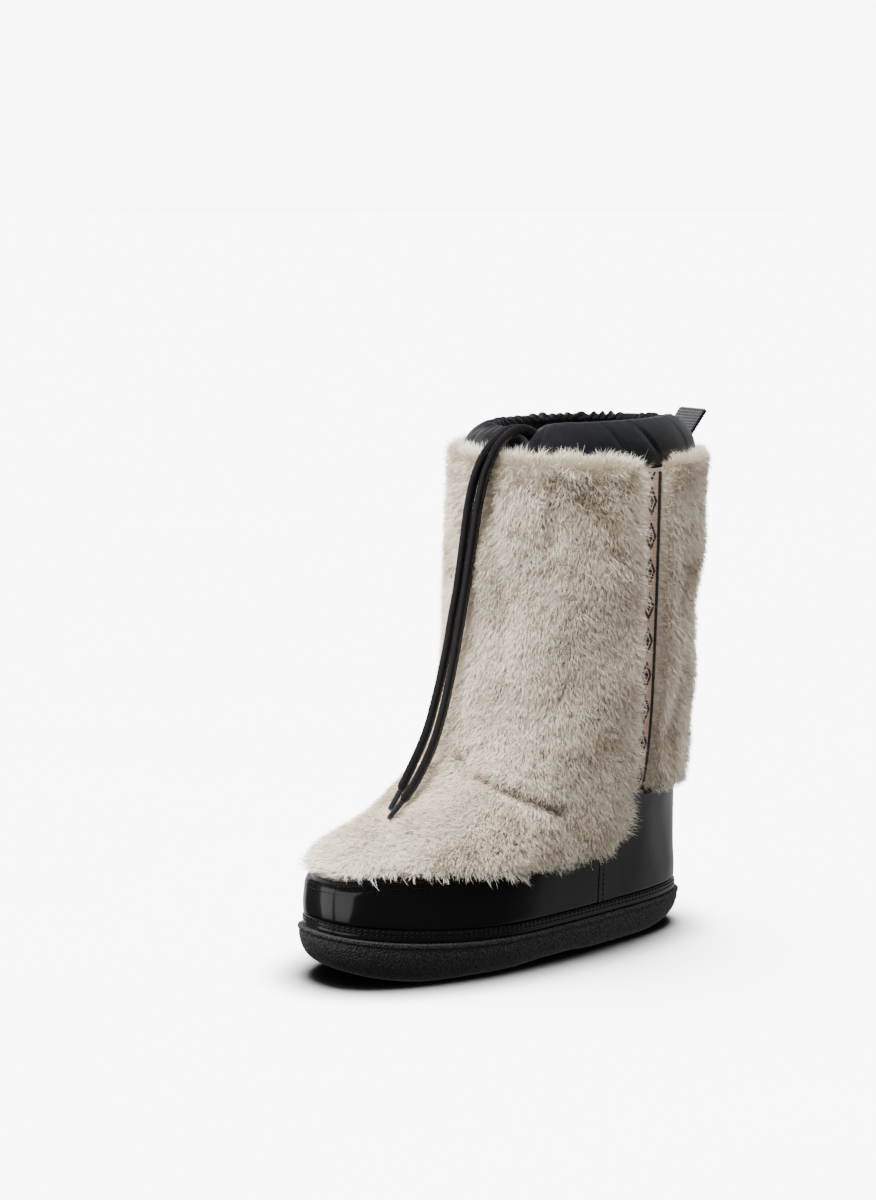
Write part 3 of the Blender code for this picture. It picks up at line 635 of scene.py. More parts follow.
backing_faces = grid_faces(len(backing_rows), len(backing_stations), close_rows=True, close_columns=True)
backing = add_piece("backing_and_lining", backing_points, backing_faces, fur_ground, fleece)
face_row = np.arange(len(backing_faces)) // len(backing_stations)
bare_of_fur = (face_row < LASTED_STEPS) | (face_row >= lining_start - 1)
backing.data.polygons.foreach_set("material_index", bare_of_fur.astype(np.int32))
enter(backing, "fur", "upper")

# Footbed
# A felt insole laid inside on the sole, slightly dished and rounded at its edge.

FOOTBED_THICK = 0.005
footbed_stations = whole_ring(40, 5, 4, 30)
floor_ring = offset_shell(footbed_stations, 0, -WALL - 2 * GAP)
rim_level = level_where(footbed_stations, lambda y: 0 * y + FOOTBED_THICK)
rim_ring = offset_shell(footbed_stations, rim_level, -WALL - 2 * GAP)
footbed_edge = np.minimum(np.abs(floor_ring), np.abs(rim_ring)) * np.sign(floor_ring)
# Footbed rows: share of the outline, share of the thickness
FOOTBED_ROWS = (
    (0.10, 0.0),
    (0.60, 0.0),
    (1.00, 0.0),
    (1.00, 0.70),
    (0.985, 0.95),
    (0.95, 1.0),
    (0.80, 0.90),
    (0.50, 0.84),
    (0.10, 0.82),
)
footbed_rows = []
for share, height in FOOTBED_ROWS:
    ring = footbed_edge * [share, share, 0]
    ring[:, 2] = sole_top(ring[:, 1]) + GAP + FOOTBED_THICK * height
    footbed_rows.append(ring)

# Pressed felt: dark grey, quite matt, with loose fibres
felt_noise = {"Detail": 5.0, "Distortion": 1.5}
felt = noise_finish("pressed_felt", 0.0012, felt_noise, ("2C2D30", "4A4B4E"), 0.95, (0.5, 0.0004), {})

footbed = add_piece(
    "felt_footbed",
    np.concatenate(footbed_rows),
    capped_faces(len(footbed_rows), len(footbed_stations)),
    felt,
)
enter(footbed, "insole_felt", "insole")

# Toe guard and heel counter
# Two black patent panels lasted over the foot of the upper and butted at a seam on each side. Their edges
# are thinned and rolled, and the counter's rises across the foot of each tape.

PATENT_THICK = 0.0015
PANEL_SEAM = 0.975
SEAM_STEP = 0.0012
FUR_CLEAR = 0.0015
EDGE_ROLL = 0.0014
SIDE_ROLL = 0.0004
EDGE_THICK = 0.15
PATENT_WAVE = 0.00022
PATENT_WAVE_SIZE = 0.045
# The edge under each tape rises by this share of the upper's height, and falls back within these stations
FOOT_SLANT = 0.024
FOOT_FALL = 0.06


def run_length(points):
    """Distance along a line of points from its first."""
    return np.concatenate([[0], np.cumsum(np.linalg.norm(np.diff(points, axis=0), axis=1))])


def rolled(distance, roll):
    """0 at an edge to 1 at a distance of roll from it, as a quarter circle."""
    return np.sqrt(np.maximum(1 - (1 - np.clip(distance / roll, 0, 1)) ** 2, 0))


def foot_slant(stations):
    """Share of the height by which the edge under the tapes rises at these stations."""
    side = np.abs(stations)
    rise = np.clip((side - TAPE_FRONT) / (TAPE_REAR - TAPE_FRONT), 0, 1)
    return FOOT_SLANT * rise * np.clip((TAPE_REAR + FOOT_FALL - side) / FOOT_FALL, 0, 1)


def plate_faces(rows, columns):
    """Faces of a plate whose outer grid of points is followed by its inner one, last row first."""
    faces = grid_faces(2 * rows, columns, close_rows=True)
    for side in (0, columns - 1):
        for r in range(rows - 1):
            a, b = r * columns + side, (r + 1) * columns + side
            c, d = (2 * rows - 2 - r) * columns + side, (2 * rows - 1 - r) * columns + side
            faces.append([a, b, c, d])
    return faces


def panel_points(stations, low, high, ground, thick, shares, wave):
    """A panel on the shell with rolled edges, its outer points first and then its inner ones."""
    levels = low + (high - low) * shares[:, None]
    middle = shell(stations, levels[len(shares) // 2])
    across = run_length(middle)
    upward = run_length(shell(stations[len(stations) // 2], levels[:, len(stations) // 2]))
    side_edge = rolled(np.minimum(across, across[-1] - across), SIDE_ROLL)
    end_edge = rolled(np.minimum(upward, upward[-1] - upward), EDGE_ROLL)
    body = side_edge[None] * end_edge[:, None]
    waves = wave * drift(shell(stations[None] + 0 * levels, levels), PATENT_WAVE_SIZE, 3)
    height = thick * (EDGE_THICK + (1 - EDGE_THICK) * body) + waves * body
    outer = offset_shell(stations, levels, ground + GAP + height)
    inner = offset_shell(stations, levels, ground + GAP)
    return np.concatenate([outer, inner[::-1]]).reshape(-1, 3)


# Patent leather: black hide under a thick clear film, mirror bright, faintly rippled where it was lasted
patent = new_finish("patent_leather")
place = add_node(patent, "TexCoord", {}).outputs["Object"]
ripple = add_node(patent, "TexNoise", {"Vector": place, "Scale": 1 / 0.016, "Detail": 1.0})
pores = add_node(patent, "TexNoise", {"Vector": place, "Scale": 1 / 0.0012, "Detail": 2.0})
hide = add_node(
    patent,
    "Mix",
    {"Factor": pores.outputs["Fac"], 6: linear("070708"), 7: linear("101012")},
    data_type="RGBA",
)
haze = add_node(patent, "MapRange", {"Value": ripple.outputs["Fac"], "To Min": 0.10, "To Max": 0.22})
lasting = add_node(patent, "Bump", {"Height": ripple.outputs["Fac"], "Strength": 0.28, "Distance": 0.0008})
film = add_node(
    patent,
    "Bump",
    {"Height": pores.outputs["Fac"], "Strength": 0.06, "Distance": 0.0002, "Normal": lasting},
)
shader = add_node(
    patent,
    "BsdfPrincipled",
    {
        "Base Color": hide,
        "Roughness": haze,
        "IOR": 1.5,
        "Coat Weight": 0.5,
        "Coat Roughness": 0.04,
        "Normal": film,
        "Coat Normal": lasting,
    },
)
add_node(patent, "OutputMaterial", {"Surface": shader})

# Stations close together at the side seams, and shares of the height close together at the rolled edges
SEAM_CLEAR = 0.018
seam_steps = np.array([0.0, 0.0006, 0.0015, 0.003, 0.006, 0.010])
guard_run = np.concatenate([np.linspace(0, PANEL_SEAM - SEAM_CLEAR, 52), PANEL_SEAM - seam_steps[::-1]])
guard_stations = np.concatenate([-guard_run[:0:-1], guard_run])
counter_side = PANEL_SEAM + SEAM_STEP
counter_run = np.concatenate(
    [
        counter_side + seam_steps,
        np.linspace(FRONT_FUR, TAPE_REAR, 24),
        np.linspace(TAPE_REAR, HEEL, 34)[1:],
    ]
)
counter_stations = np.concatenate([counter_run, -counter_run[-2::-1]])
edge_shares = np.array([0.0, 0.006, 0.016, 0.03])
patent_shares = np.concatenate([edge_shares, np.linspace(0.05, 0.95, 22), 1 - edge_shares[::-1]])
for name, node, stations in (
    ("patent_toe_guard", "toe_guard", guard_stations),
    ("patent_heel_counter", "heel_counter", counter_stations),
):
    low = level_where(stations, lambda y: 0 * y + WELT_HEIGHT + 2.5 * GAP)
    high = level_where(stations, lambda y: fur_edge_rise(y - FUR_CLEAR) - FUR_CLEAR) + foot_slant(stations)
    points = panel_points(stations, low, high, 0.5 * GAP, PATENT_THICK, patent_shares, PATENT_WAVE)
    panel = add_piece(name, points, plate_faces(len(patent_shares), len(stations)), patent)
    enter(panel, "patent", node)

# Stitches of the patent panels
# Waxed black thread, sewn through panel and backing: two rows just under the fur round the guard, two
# beside each side seam on the counter, and two under the foot of each tape.

THREAD_SIDES = 5
# Rows of one stitch: share of its half length, share of its radius
STITCH_ROWS = ((-1.0, 0.25), (-0.75, 0.8), (0.0, 1.0), (0.75, 0.8), (1.0, 0.25))
STITCH_SINK = 0.6


def stitch_mesh(line, outward, pitch, length, radius):
    """Points and faces of stitches at an even pitch along a line of points."""
    run = run_length(line)
    count = max(2, int(run[-1] / pitch))
    at = (np.arange(count) + 0.5) * run[-1] / count
    centre = np.stack([np.interp(at, run, line[:, k]) for k in range(3)], axis=1)
    out = unit(np.stack([np.interp(at, run, outward[:, k]) for k in range(3)], axis=1))
    tangent = np.gradient(line, axis=0)
    along = unit(np.stack([np.interp(at, run, tangent[:, k]) for k in range(3)], axis=1))
    across = np.cross(along, out)
    turn = np.linspace(0, 2 * np.pi, THREAD_SIDES, endpoint=False)
    points, faces = [], []
    for k in range(count):
        for share, thick in STITCH_ROWS:
            middle = centre[k] + along[k] * share * length / 2 - out[k] * radius * STITCH_SINK * share**2
            circle = np.cos(turn)[:, None] * across[k] + np.sin(turn)[:, None] * out[k]
            points.append(middle + circle * radius * thick)
        start = k * len(STITCH_ROWS) * THREAD_SIDES
        faces += [[start + i for i in f] for f in capped_faces(len(STITCH_ROWS), THREAD_SIDES)]
    return np.concatenate(points), faces


def add_stitches(name, rows, finish, pitch, length, radius):
    """One piece of all the stitch rows given as lines of points with their outward ways."""
    points, faces, start = [], [], 0
    for line, outward in rows:
        row_points, row_faces = stitch_mesh(line, outward, pitch, length, radius)
        points.append(row_points)
        faces += [[start + i for i in f] for f in row_faces]
        start += len(row_points)
    return add_piece(name, np.concatenate(points), faces, finish, crease=80.0)


# Waxed polyester thread: black, twisted, with a dull shine along the ply
waxed_thread = new_finish("waxed_polyester_thread")
place = add_node(waxed_thread, "TexCoord", {}).outputs["Object"]
ply = add_node(
    waxed_thread,
    "TexWave",
    {"Vector": place, "Scale": 1 / 0.004, "Distortion": 2.0, "Detail": 1.0},
    bands_direction="DIAGONAL",
)
thread_colour = add_node(
    waxed_thread,
    "Mix",
    {"Factor": ply.outputs["Fac"], 6: linear("0B0B0C"), 7: linear("1D1D1F")},
    data_type="RGBA",
)
bumps = add_node(waxed_thread, "Bump", {"Height": ply.outputs["Fac"], "Strength": 0.4, "Distance": 0.0002})
shader = add_node(
    waxed_thread, "BsdfPrincipled", {"Base Color": thread_colour, "Roughness": 0.32, "Normal": bumps}
)
add_node(waxed_thread, "OutputMaterial", {"Surface": shader})

STITCH_PITCH = 0.0032
STITCH_LENGTH = 0.0026
STITCH_RADIUS = 0.00036
GUARD_ROW_DROPS = (0.0040, 0.0066)
SEAM_ROW_STEPS = (0.0022, 0.0044)
# The rows under the tapes lie lower than the counter's edge by these shares of the upper's height
FOOT_ROW_DROPS = (0.006, 0.012)
GUARD_ROW_END = 0.86
SEAM_ROW_CLEAR = 0.001
SEAM_ROW_POINTS = 40
patent_face = 1.5 * GAP + PATENT_THICK
stitch_lines = []
row_stations = np.linspace(-GUARD_ROW_END, GUARD_ROW_END, 260)
for drop in GUARD_ROW_DROPS:
    level = level_where(row_stations, lambda y: fur_edge_rise(y) - drop)
    outward = shell_ways(row_stations, level)[2]
    stitch_lines.append((shell(row_stations, level) + outward * patent_face, outward))
for side in (1, -1):
    seam_side = [side * counter_side]
    seam_low = level_where(seam_side, lambda y: 0 * y + WELT_HEIGHT + SEAM_ROW_CLEAR)[0]
    seam_high = level_where(seam_side, lambda y: fur_edge_rise(y) - SEAM_ROW_CLEAR)[0]
    seam_scan = side * np.linspace(counter_side, TAPE_FRONT, 60)
    for step in SEAM_ROW_STEPS:
        level = np.linspace(seam_low, seam_high, SEAM_ROW_POINTS)
        seam = shell(np.full(SEAM_ROW_POINTS, side * counter_side), level)
        ring = shell(seam_scan[None], level[:, None])
        gaps = np.abs(np.linalg.norm(ring - seam[:, None], axis=-1) - step)
        station = seam_scan[np.argmin(gaps, axis=1)]
        outward = shell_ways(station, level)[2]
        stitch_lines.append((shell(station, level) + outward * patent_face, outward))
    for drop in FOOT_ROW_DROPS:
        station = side * np.linspace(TAPE_FRONT, TAPE_REAR, 40)
        level = level_where(station, lambda y: fur_edge_rise(y) - FUR_CLEAR) + foot_slant(station) - drop
        outward = shell_ways(station, level)[2]
        stitch_lines.append((shell(station, level) + outward * patent_face, outward))
panel_stitches = add_stitches(
    "panel_stitches", stitch_lines, waxed_thread, STITCH_PITCH, STITCH_LENGTH, STITCH_RADIUS
)
enter(panel_stitches, "patent")

# Welt
# A narrow patent strip that stands on the sole round the foot of the upper. Two rows of heavy stitches lie
# in grooves along its upper half, and its lower half is a plain rounded bead.

# Welt rows: distance out from the shell, share of the height
WELT_ROWS = (
    (0.0003, 0.00),
    (0.0026, 0.00),
    (0.0030, 0.07),
    (0.0030, 0.30),
    (0.0028, 0.42),
    (0.0022, 0.50),
    (0.0022, 0.57),
    (0.0027, 0.64),
    (0.0027, 0.70),
    (0.0020, 0.78),
    (0.0019, 0.86),
    (0.0023, 0.93),
    (0.0018, 1.00),
    (0.0003, 1.00),
)
WELT_GROOVES = ((0.0024, 0.535), (0.0022, 0.82))
welt_stations = whole_ring(120, 10, 8, 80)
welt_foot = shell(welt_stations, 0 * welt_stations)
welt_top = shell(welt_stations, level_where(welt_stations, lambda y: 0 * y + WELT_HEIGHT))
welt_out = unit(shell_ways(welt_stations, 0 * welt_stations)[2] * [1, 1, 0])


def welt_ring(out, share):
    """A ring of the welt at this distance out and share of its height."""
    inside = welt_foot + (welt_top - welt_foot) * share
    ring = inside + welt_out * out
    seat = sole_top(ring[:, 1]) * (1 - share) + sole_top(inside[:, 1]) * share
    ring[:, 2] = seat + GAP + WELT_HEIGHT * share
    return ring


welt_rings = [welt_ring(out, share) for out, share in WELT_ROWS]

# Patent strip: the same film on a thinner hide, duller from the stitching and bending
welt_patent = new_finish("patent_welt_strip")
place = add_node(welt_patent, "TexCoord", {}).outputs["Object"]
rub = add_node(welt_patent, "TexNoise", {"Vector": place, "Scale": 1 / 0.010, "Detail": 3.0})
grain = add_node(welt_patent, "TexNoise", {"Vector": place, "Scale": 1 / 0.0015, "Detail": 2.0})
strip = add_node(
    welt_patent,
    "Mix",
    {"Factor": rub.outputs["Fac"], 6: linear("08080A"), 7: linear("121214")},
    data_type="RGBA",
)
rubbed = add_node(welt_patent, "MapRange", {"Value": rub.outputs["Fac"], "To Min": 0.12, "To Max": 0.24})
bumps = add_node(
    welt_patent, "Bump", {"Height": grain.outputs["Fac"], "Strength": 0.15, "Distance": 0.0003}
)
shader = add_node(
    welt_patent,
    "BsdfPrincipled",
    {
        "Base Color": strip,
        "Roughness": rubbed,
        "Coat Weight": 0.6,
        "Coat Roughness": 0.06,
        "Normal": bumps,
    },
)
add_node(welt_patent, "OutputMaterial", {"Surface": shader})

welt = add_piece(
    "welt_strip",
    np.concatenate(welt_rings),
    grid_faces(len(welt_rings), len(welt_stations), close_rows=True, close_columns=True),
    welt_patent,
    crease=60.0,
)
enter(welt, "welt_patent", "welt")

WELT_STITCH_PITCH = 0.0036
WELT_STITCH_LENGTH = 0.0030
WELT_STITCH_RADIUS = 0.00068
welt_lines = []
for out, share in WELT_GROOVES:
    ring = welt_ring(out, share)
    welt_lines.append((np.concatenate([ring, ring[:1]]), np.concatenate([welt_out, welt_out[:1]])))
welt_stitches = add_stitches(
    "welt_stitches", welt_lines, waxed_thread, WELT_STITCH_PITCH, WELT_STITCH_LENGTH, WELT_STITCH_RADIUS
)
enter(welt_stitches, "welt_patent")

# Side tapes
# A woven tape sewn down each side between the front and back fur, dusty pink-beige with a black rear edge.
# Its foot is cut to the slant of the counter's edge.

TAPE_THICK = 0.0009
TAPE_MARGIN = 0.05
TAPE_TOP_LEVEL = 0.997
TAPE_RIB = 0.0011
TAPE_WARP = 0.0009
TAPE_EDGE_SHARE = 0.84
TAPE_PUFF = 0.00025
# Hollow lozenges woven down the tape: middle across, half width and half height, pitch, and the middle and
# half width of the hollow ring as shares of the lozenge
LOZENGE_MIDDLE = 0.0112
LOZENGE_HALF = (0.0052, 0.0098)
LOZENGE_PITCH = 0.0225
LOZENGE_HOLLOW = (0.48, 0.10)

# Jacquard tape: fine cross ribs over close warp threads, matt, a little faded along the ribs
tape_weave = new_finish("jacquard_tape")
tape_place = add_node(tape_weave, "Attribute", {}, attribute_name="tape_place")
tape_xyz = add_node(tape_weave, "SeparateXYZ", {"Vector": tape_place.outputs["Vector"]})
ribs = add_node(
    tape_weave,
    "TexWave",
    {"Vector": tape_place.outputs["Vector"], "Scale": 0.5 / TAPE_RIB / math.pi, "Distortion": 0.6},
    bands_direction="Y",
)
warp = add_node(
    tape_weave,
    "TexWave",
    {"Vector": tape_place.outputs["Vector"], "Scale": 0.5 / TAPE_WARP / math.pi, "Distortion": 0.4},
    bands_direction="X",
)
fading = add_node(tape_weave, "TexNoise", {"Vector": tape_place.outputs["Vector"], "Scale": 1 / 0.009})
weave = add_node(tape_weave, "Math", {0: ribs.outputs["Fac"], 1: warp.outputs["Fac"]}, operation="MULTIPLY")
pink = add_node(
    tape_weave, "Mix", {"Factor": weave, 6: linear("D4AD97"), 7: linear("F0D2BF")}, data_type="RGBA"
)
faded = add_node(
    tape_weave, "Mix", {"Factor": fading.outputs["Fac"], 6: pink, 7: linear("E2BFAB")}, data_type="RGBA"
)
stripe = add_node(
    tape_weave, "Math", {0: tape_xyz.outputs["Z"], 1: TAPE_EDGE_SHARE}, operation="GREATER_THAN"
)
aside = add_node(tape_weave, "Math", {0: tape_xyz.outputs["X"], 1: LOZENGE_MIDDLE}, operation="SUBTRACT")
aside = add_node(tape_weave, "Math", {0: aside}, operation="ABSOLUTE")
aside = add_node(tape_weave, "Math", {0: aside, 1: LOZENGE_HALF[0]}, operation="DIVIDE")
along = add_node(tape_weave, "Math", {0: tape_xyz.outputs["Y"], 1: LOZENGE_PITCH / 2}, operation="PINGPONG")
ring = add_node(tape_weave, "Math", {0: along, 1: 1 / LOZENGE_HALF[1], 2: aside}, operation="MULTIPLY_ADD")
figure = add_node(tape_weave, "Math", {0: ring, 1: 1.0}, operation="LESS_THAN")
hollow = add_node(
    tape_weave, "Math", {0: ring, 1: LOZENGE_HOLLOW[0], 2: LOZENGE_HOLLOW[1]}, operation="COMPARE"
)
figure = add_node(tape_weave, "Math", {0: figure, 1: hollow}, operation="SUBTRACT")
black = add_node(tape_weave, "Math", {0: stripe, 1: figure}, operation="MAXIMUM")
black_thread = add_node(
    tape_weave, "Mix", {"Factor": weave, 6: linear("0E0E10"), 7: linear("26262A")}, data_type="RGBA"
)
tape_colour = add_node(tape_weave, "Mix", {"Factor": black, 6: faded, 7: black_thread}, data_type="RGBA")
bumps = add_node(tape_weave, "Bump", {"Height": weave, "Strength": 0.7, "Distance": 0.0003})
shader = add_node(
    tape_weave,
    "BsdfPrincipled",
    {
        "Base Color": tape_colour,
        "Roughness": 0.85,
        "Sheen Weight": 0.15,
        "Normal": bumps,
    },
)
add_node(tape_weave, "OutputMaterial", {"Surface": shader})

TAPE_COLUMNS = 13
tape_shares = np.concatenate([[0, 0.001, 0.003], np.linspace(0.006, 1, 110)])
for side, node in ((1, "tape_outer"), (-1, "tape_inner")):
    across = np.linspace(0, 1, TAPE_COLUMNS)
    stations = side * (TAPE_FRONT + TAPE_MARGIN + across * (TAPE_REAR - TAPE_FRONT - 2 * TAPE_MARGIN))
    low = level_where(stations, lambda y: fur_edge_rise(y) + FUR_CLEAR) + foot_slant(stations)
    levels = low + (TAPE_TOP_LEVEL - low) * tape_shares[:, None]
    puff = TAPE_PUFF * np.sin(np.pi * across) ** 0.5
    outer = offset_shell(stations, levels, TAPE_GROUND + GAP + TAPE_THICK + puff)
    inner = offset_shell(stations, levels, TAPE_GROUND + GAP)
    points = np.concatenate([outer, inner[::-1]]).reshape(-1, 3)
    tape = add_piece("side_" + node, points, plate_faces(len(tape_shares), TAPE_COLUMNS), tape_weave)
    along = np.concatenate([outer[..., 2], inner[::-1, :, 2]])
    where = np.stack([2 * TAPE_HALF * across + 0 * along, along, across + 0 * along], axis=-1)
    places = tape.data.attributes.new("tape_place", "FLOAT_VECTOR", "POINT")
    places.data.foreach_set("vector", where.astype(np.float32).ravel())
    enter(tape, "tape_weave", node)

# Fur
# A deep plush of fine fibres, pale greige over brownish roots whose darkness is partly painted depth shade,
# cut as a front panel and a back panel. The nap runs down the leg and forward over the foot, turns up more
# and more towards the collar, and lies out over every edge.

# Acrylic plush: pale greige strands over brownish roots, the roots' darkness partly their own colour and
# partly painted depth shade. The tone runs from brown, for open nap and painted shade, over the plain body,
# to nearly white, which is painted light on fringes and edges.
plush = new_finish("acrylic_plush")
strand = add_node(plush, "Attribute", {}, attribute_name="strand")
strand_parts = add_node(plush, "SeparateXYZ", {"Vector": strand.outputs["Vector"]})
tones = []
for root_hex, tip_hex in (("A08D75", "D2C1A9"), ("CABCA8", "EBE0CC"), ("DDD1BF", "FCF6E8")):
    tones.append(
        add_node(
            plush,
            "Mix",
            {"Factor": strand_parts.outputs["X"], 6: linear(root_hex), 7: linear(tip_hex)},
            data_type="RGBA",
        )
    )
# Tone under a half darkens towards the open-nap brown, partly painted shade; tone over a half pales towards
# white, which is painted light
closed = add_node(plush, "MapRange", {"Value": strand_parts.outputs["Y"], "From Max": 0.5})
paler_lit_share = add_node(plush, "MapRange", {"Value": strand_parts.outputs["Y"], "From Min": 0.5})
body = add_node(plush, "Mix", {"Factor": closed, 6: tones[0], 7: tones[1]}, data_type="RGBA")
tipped = add_node(plush, "Mix", {"Factor": paler_lit_share, 6: body, 7: tones[2]}, data_type="RGBA")
shader = add_node(
    plush, "BsdfPrincipled", {"Base Color": tipped, "Roughness": 0.85, "Specular IOR Level": 0.2}
)
add_node(plush, "OutputMaterial", {"Surface": shader})

STRAND_WIDTH = 0.00038
STRAND_LENGTH = 0.0073
# A strand's two parts: share of its length, and how strongly its clump draws it in
STRAND_PARTS = ((0.55, 0.4), (0.45, 0.6))
STRAND_BEND = 0.55
STRAND_TAPER = 0.8
STRAND_ROLL = 0.35
# A strand that has to stop short keeps at least this share of its reach and of its length
LEAST_REACH = 0.05
LEAST_LENGTH = 0.4
# Widths: least share and spread, and shares for the darkest strand and the palest one
WIDTH_LEAST = 0.7
WIDTH_SPREAD = 0.6
DARK_WIDTH = 1.2
PALE_WIDTH = 0.7
CLUMP = 0.0028
CLUMP_TONE = 0.18
TONE_HALF = 0.004
fur_draw = np.random.default_rng(12)


def scatter(cells, seed):
    """A fixed random value from 0 to 1 for each whole-numbered cell."""
    return np.modf(np.abs(np.sin(cells @ np.array([127.1, 311.7, 74.7]) + 19.3 * seed)) * 43758.5453)[0]


def clumps(points, size):
    """The middle of the clump that each point belongs to, and the clump's cell."""
    home = np.floor(points / size)
    best = np.full(len(points), np.inf)
    middle, cell = np.zeros_like(points), np.zeros_like(points)
    for step in np.ndindex(3, 3, 3):
        near = home + np.array(step) - 1
        centre = (near + np.stack([scatter(near, k) for k in range(3)], axis=1)) * size
        away = ((points - centre) ** 2).sum(1)
        closer = away < best
        best = np.where(closer, away, best)
        middle[closer], cell[closer] = centre[closer], near[closer]
    return middle, cell


# Strands turn up at the top edge, fewer and fewer down to this far below it, and further down behind
RAISED_DROP = 0.022
RAISED_BEHIND = 1.4
# The toe is brushed smooth and painted nearly white as painted light: station and level where that ends,
# each with its fade's run
BRUSHED_LIT_STATION = (0.55, 0.25)
BRUSHED_LIT_LEVEL = (0.52, 0.20)
# The leg's sides are painted darker as painted shade: station and level where that begins, each with the
# run of its fade
SIDE_SHADE_STATION = (0.35, 0.5)
SIDE_SHADE_LEVEL = (0.50, 0.2)
# Strands turn to the tape from these stations on, in front and behind, each with the run of the turn. The
# tufts of the front and of the back then reach over the tape's edge by up to these spikes.
FRONT_TURN = (1.0, 0.5)
BACK_TURN = (4.75, 0.6)
SPIKE_BASE = 0.0002
FRONT_SPIKE = 0.0068
BACK_SPIKE = 0.0014
TUFT_POWER = 1.4
TUFT_LEAST = 0.4
# Swirls of the nap: share, size, seed of the drift. They are stronger on the back panel.
SWIRLS = ((0.25, 0.080, 21), (0.20, 0.030, 22))
BACK_SWIRL = 2.0
LAY_SPREAD = 0.42
TUFT_SIZE = 2.4 * CLUMP
TUFT_TURN = 0.9
TAPE_TURN = 0.8
EDGE_RUN = 0.006
BACK_RIM = 0.4
# Lengths: shortest share and its spread, on thin pile, lost in a crease, won at the tape and by a tuft
LENGTH_LEAST = 0.75
LENGTH_SPREAD = 0.50
THIN_LENGTH = 0.75
CREASE_LENGTH = 0.5
TAPE_LENGTH = 0.35
TUFT_LENGTH = 1.2
# Overhang of a tuft over the lower edge, in front and behind, and what every strand may pass it by
FRONT_OVERHANG = 0.0075
BACK_OVERHANG = 0.0020
EDGE_PASS = 0.0006
LEAST_WAY = 0.05
# What changes a strand: open nap, nearness of the top, a crease, a rim, the brushed toe, the back panel and
# the leg's sides. Each changes its stand by so many degrees and its tone by so much; the tones paint shade
# into creases, open nap and the leg's sides, and light onto the top, the rims, the toe and the back panel.
STAND_DEGREES = 55
STAND_SPREAD = 12
STAND_LIMITS = (15, 85)
STAND_CHANGES = np.array([14, 8, -10, -28, -24, -10, 0])
PLAIN_TONE = 0.46
TONE_DRIFT = 0.09
TONE_DRIFT_SIZE = 0.030
TONE_SPREAD = 0.10
TONE_CHANGES = np.array([-0.40, 0.26, -0.30, 0.54, 0.42, 0.14, -0.10])
GATHER = 0.44
RIM_GATHER = 0.46
# Places where the nap is turned open and the brown roots show, their brown partly painted shade: (station,
# level) line, half width, share
OPEN_NAP = (
    (((0.60, 0.965), (0.76, 0.980), (0.95, 0.970)), 0.009, 0.50),
    (((-0.60, 0.965), (-0.76, 0.980), (-0.95, 0.970)), 0.009, 0.40),
    (((0.44, 0.350), (0.57, 0.373), (0.70, 0.400), (0.86, 0.370), (0.93, 0.320)), 0.010, 0.50),
    (((-0.62, 0.373), (-0.74, 0.400), (-0.86, 0.370)), 0.009, 0.40),
    (((0.73, 0.972), (0.80, 0.957), (0.92, 0.925)), 0.008, 0.40),
    (((0.60, 0.800), (0.80, 0.760)), 0.010, 0.25),
)


def surface_draw(count, first, last, level_first, level_last):
    """Random places spread evenly over the fur between two stations, and two shares of its height."""
    s = np.linspace(first, last, 241)
    u = np.linspace(level_first, level_last, 161)
    edge = np.interp(s, edge_stations, edge_levels)
    level = edge[:, None] + (1 - edge[:, None]) * u
    points = shell(s[:, None], level)
    cross = np.cross(points[1:, :-1] - points[:-1, :-1], points[:-1, 1:] - points[:-1, :-1])
    weight = np.linalg.norm(cross, axis=-1).ravel()
    cell = fur_draw.choice(len(weight), count, p=weight / weight.sum())
    i, j = np.divmod(cell, len(u) - 1)
    station = s[i] + fur_draw.random(count) * (s[1] - s[0])
    share = u[j] + fur_draw.random(count) * (u[1] - u[0])
    edge = np.interp(station, edge_stations, edge_levels)
    return station, edge + (1 - edge) * share


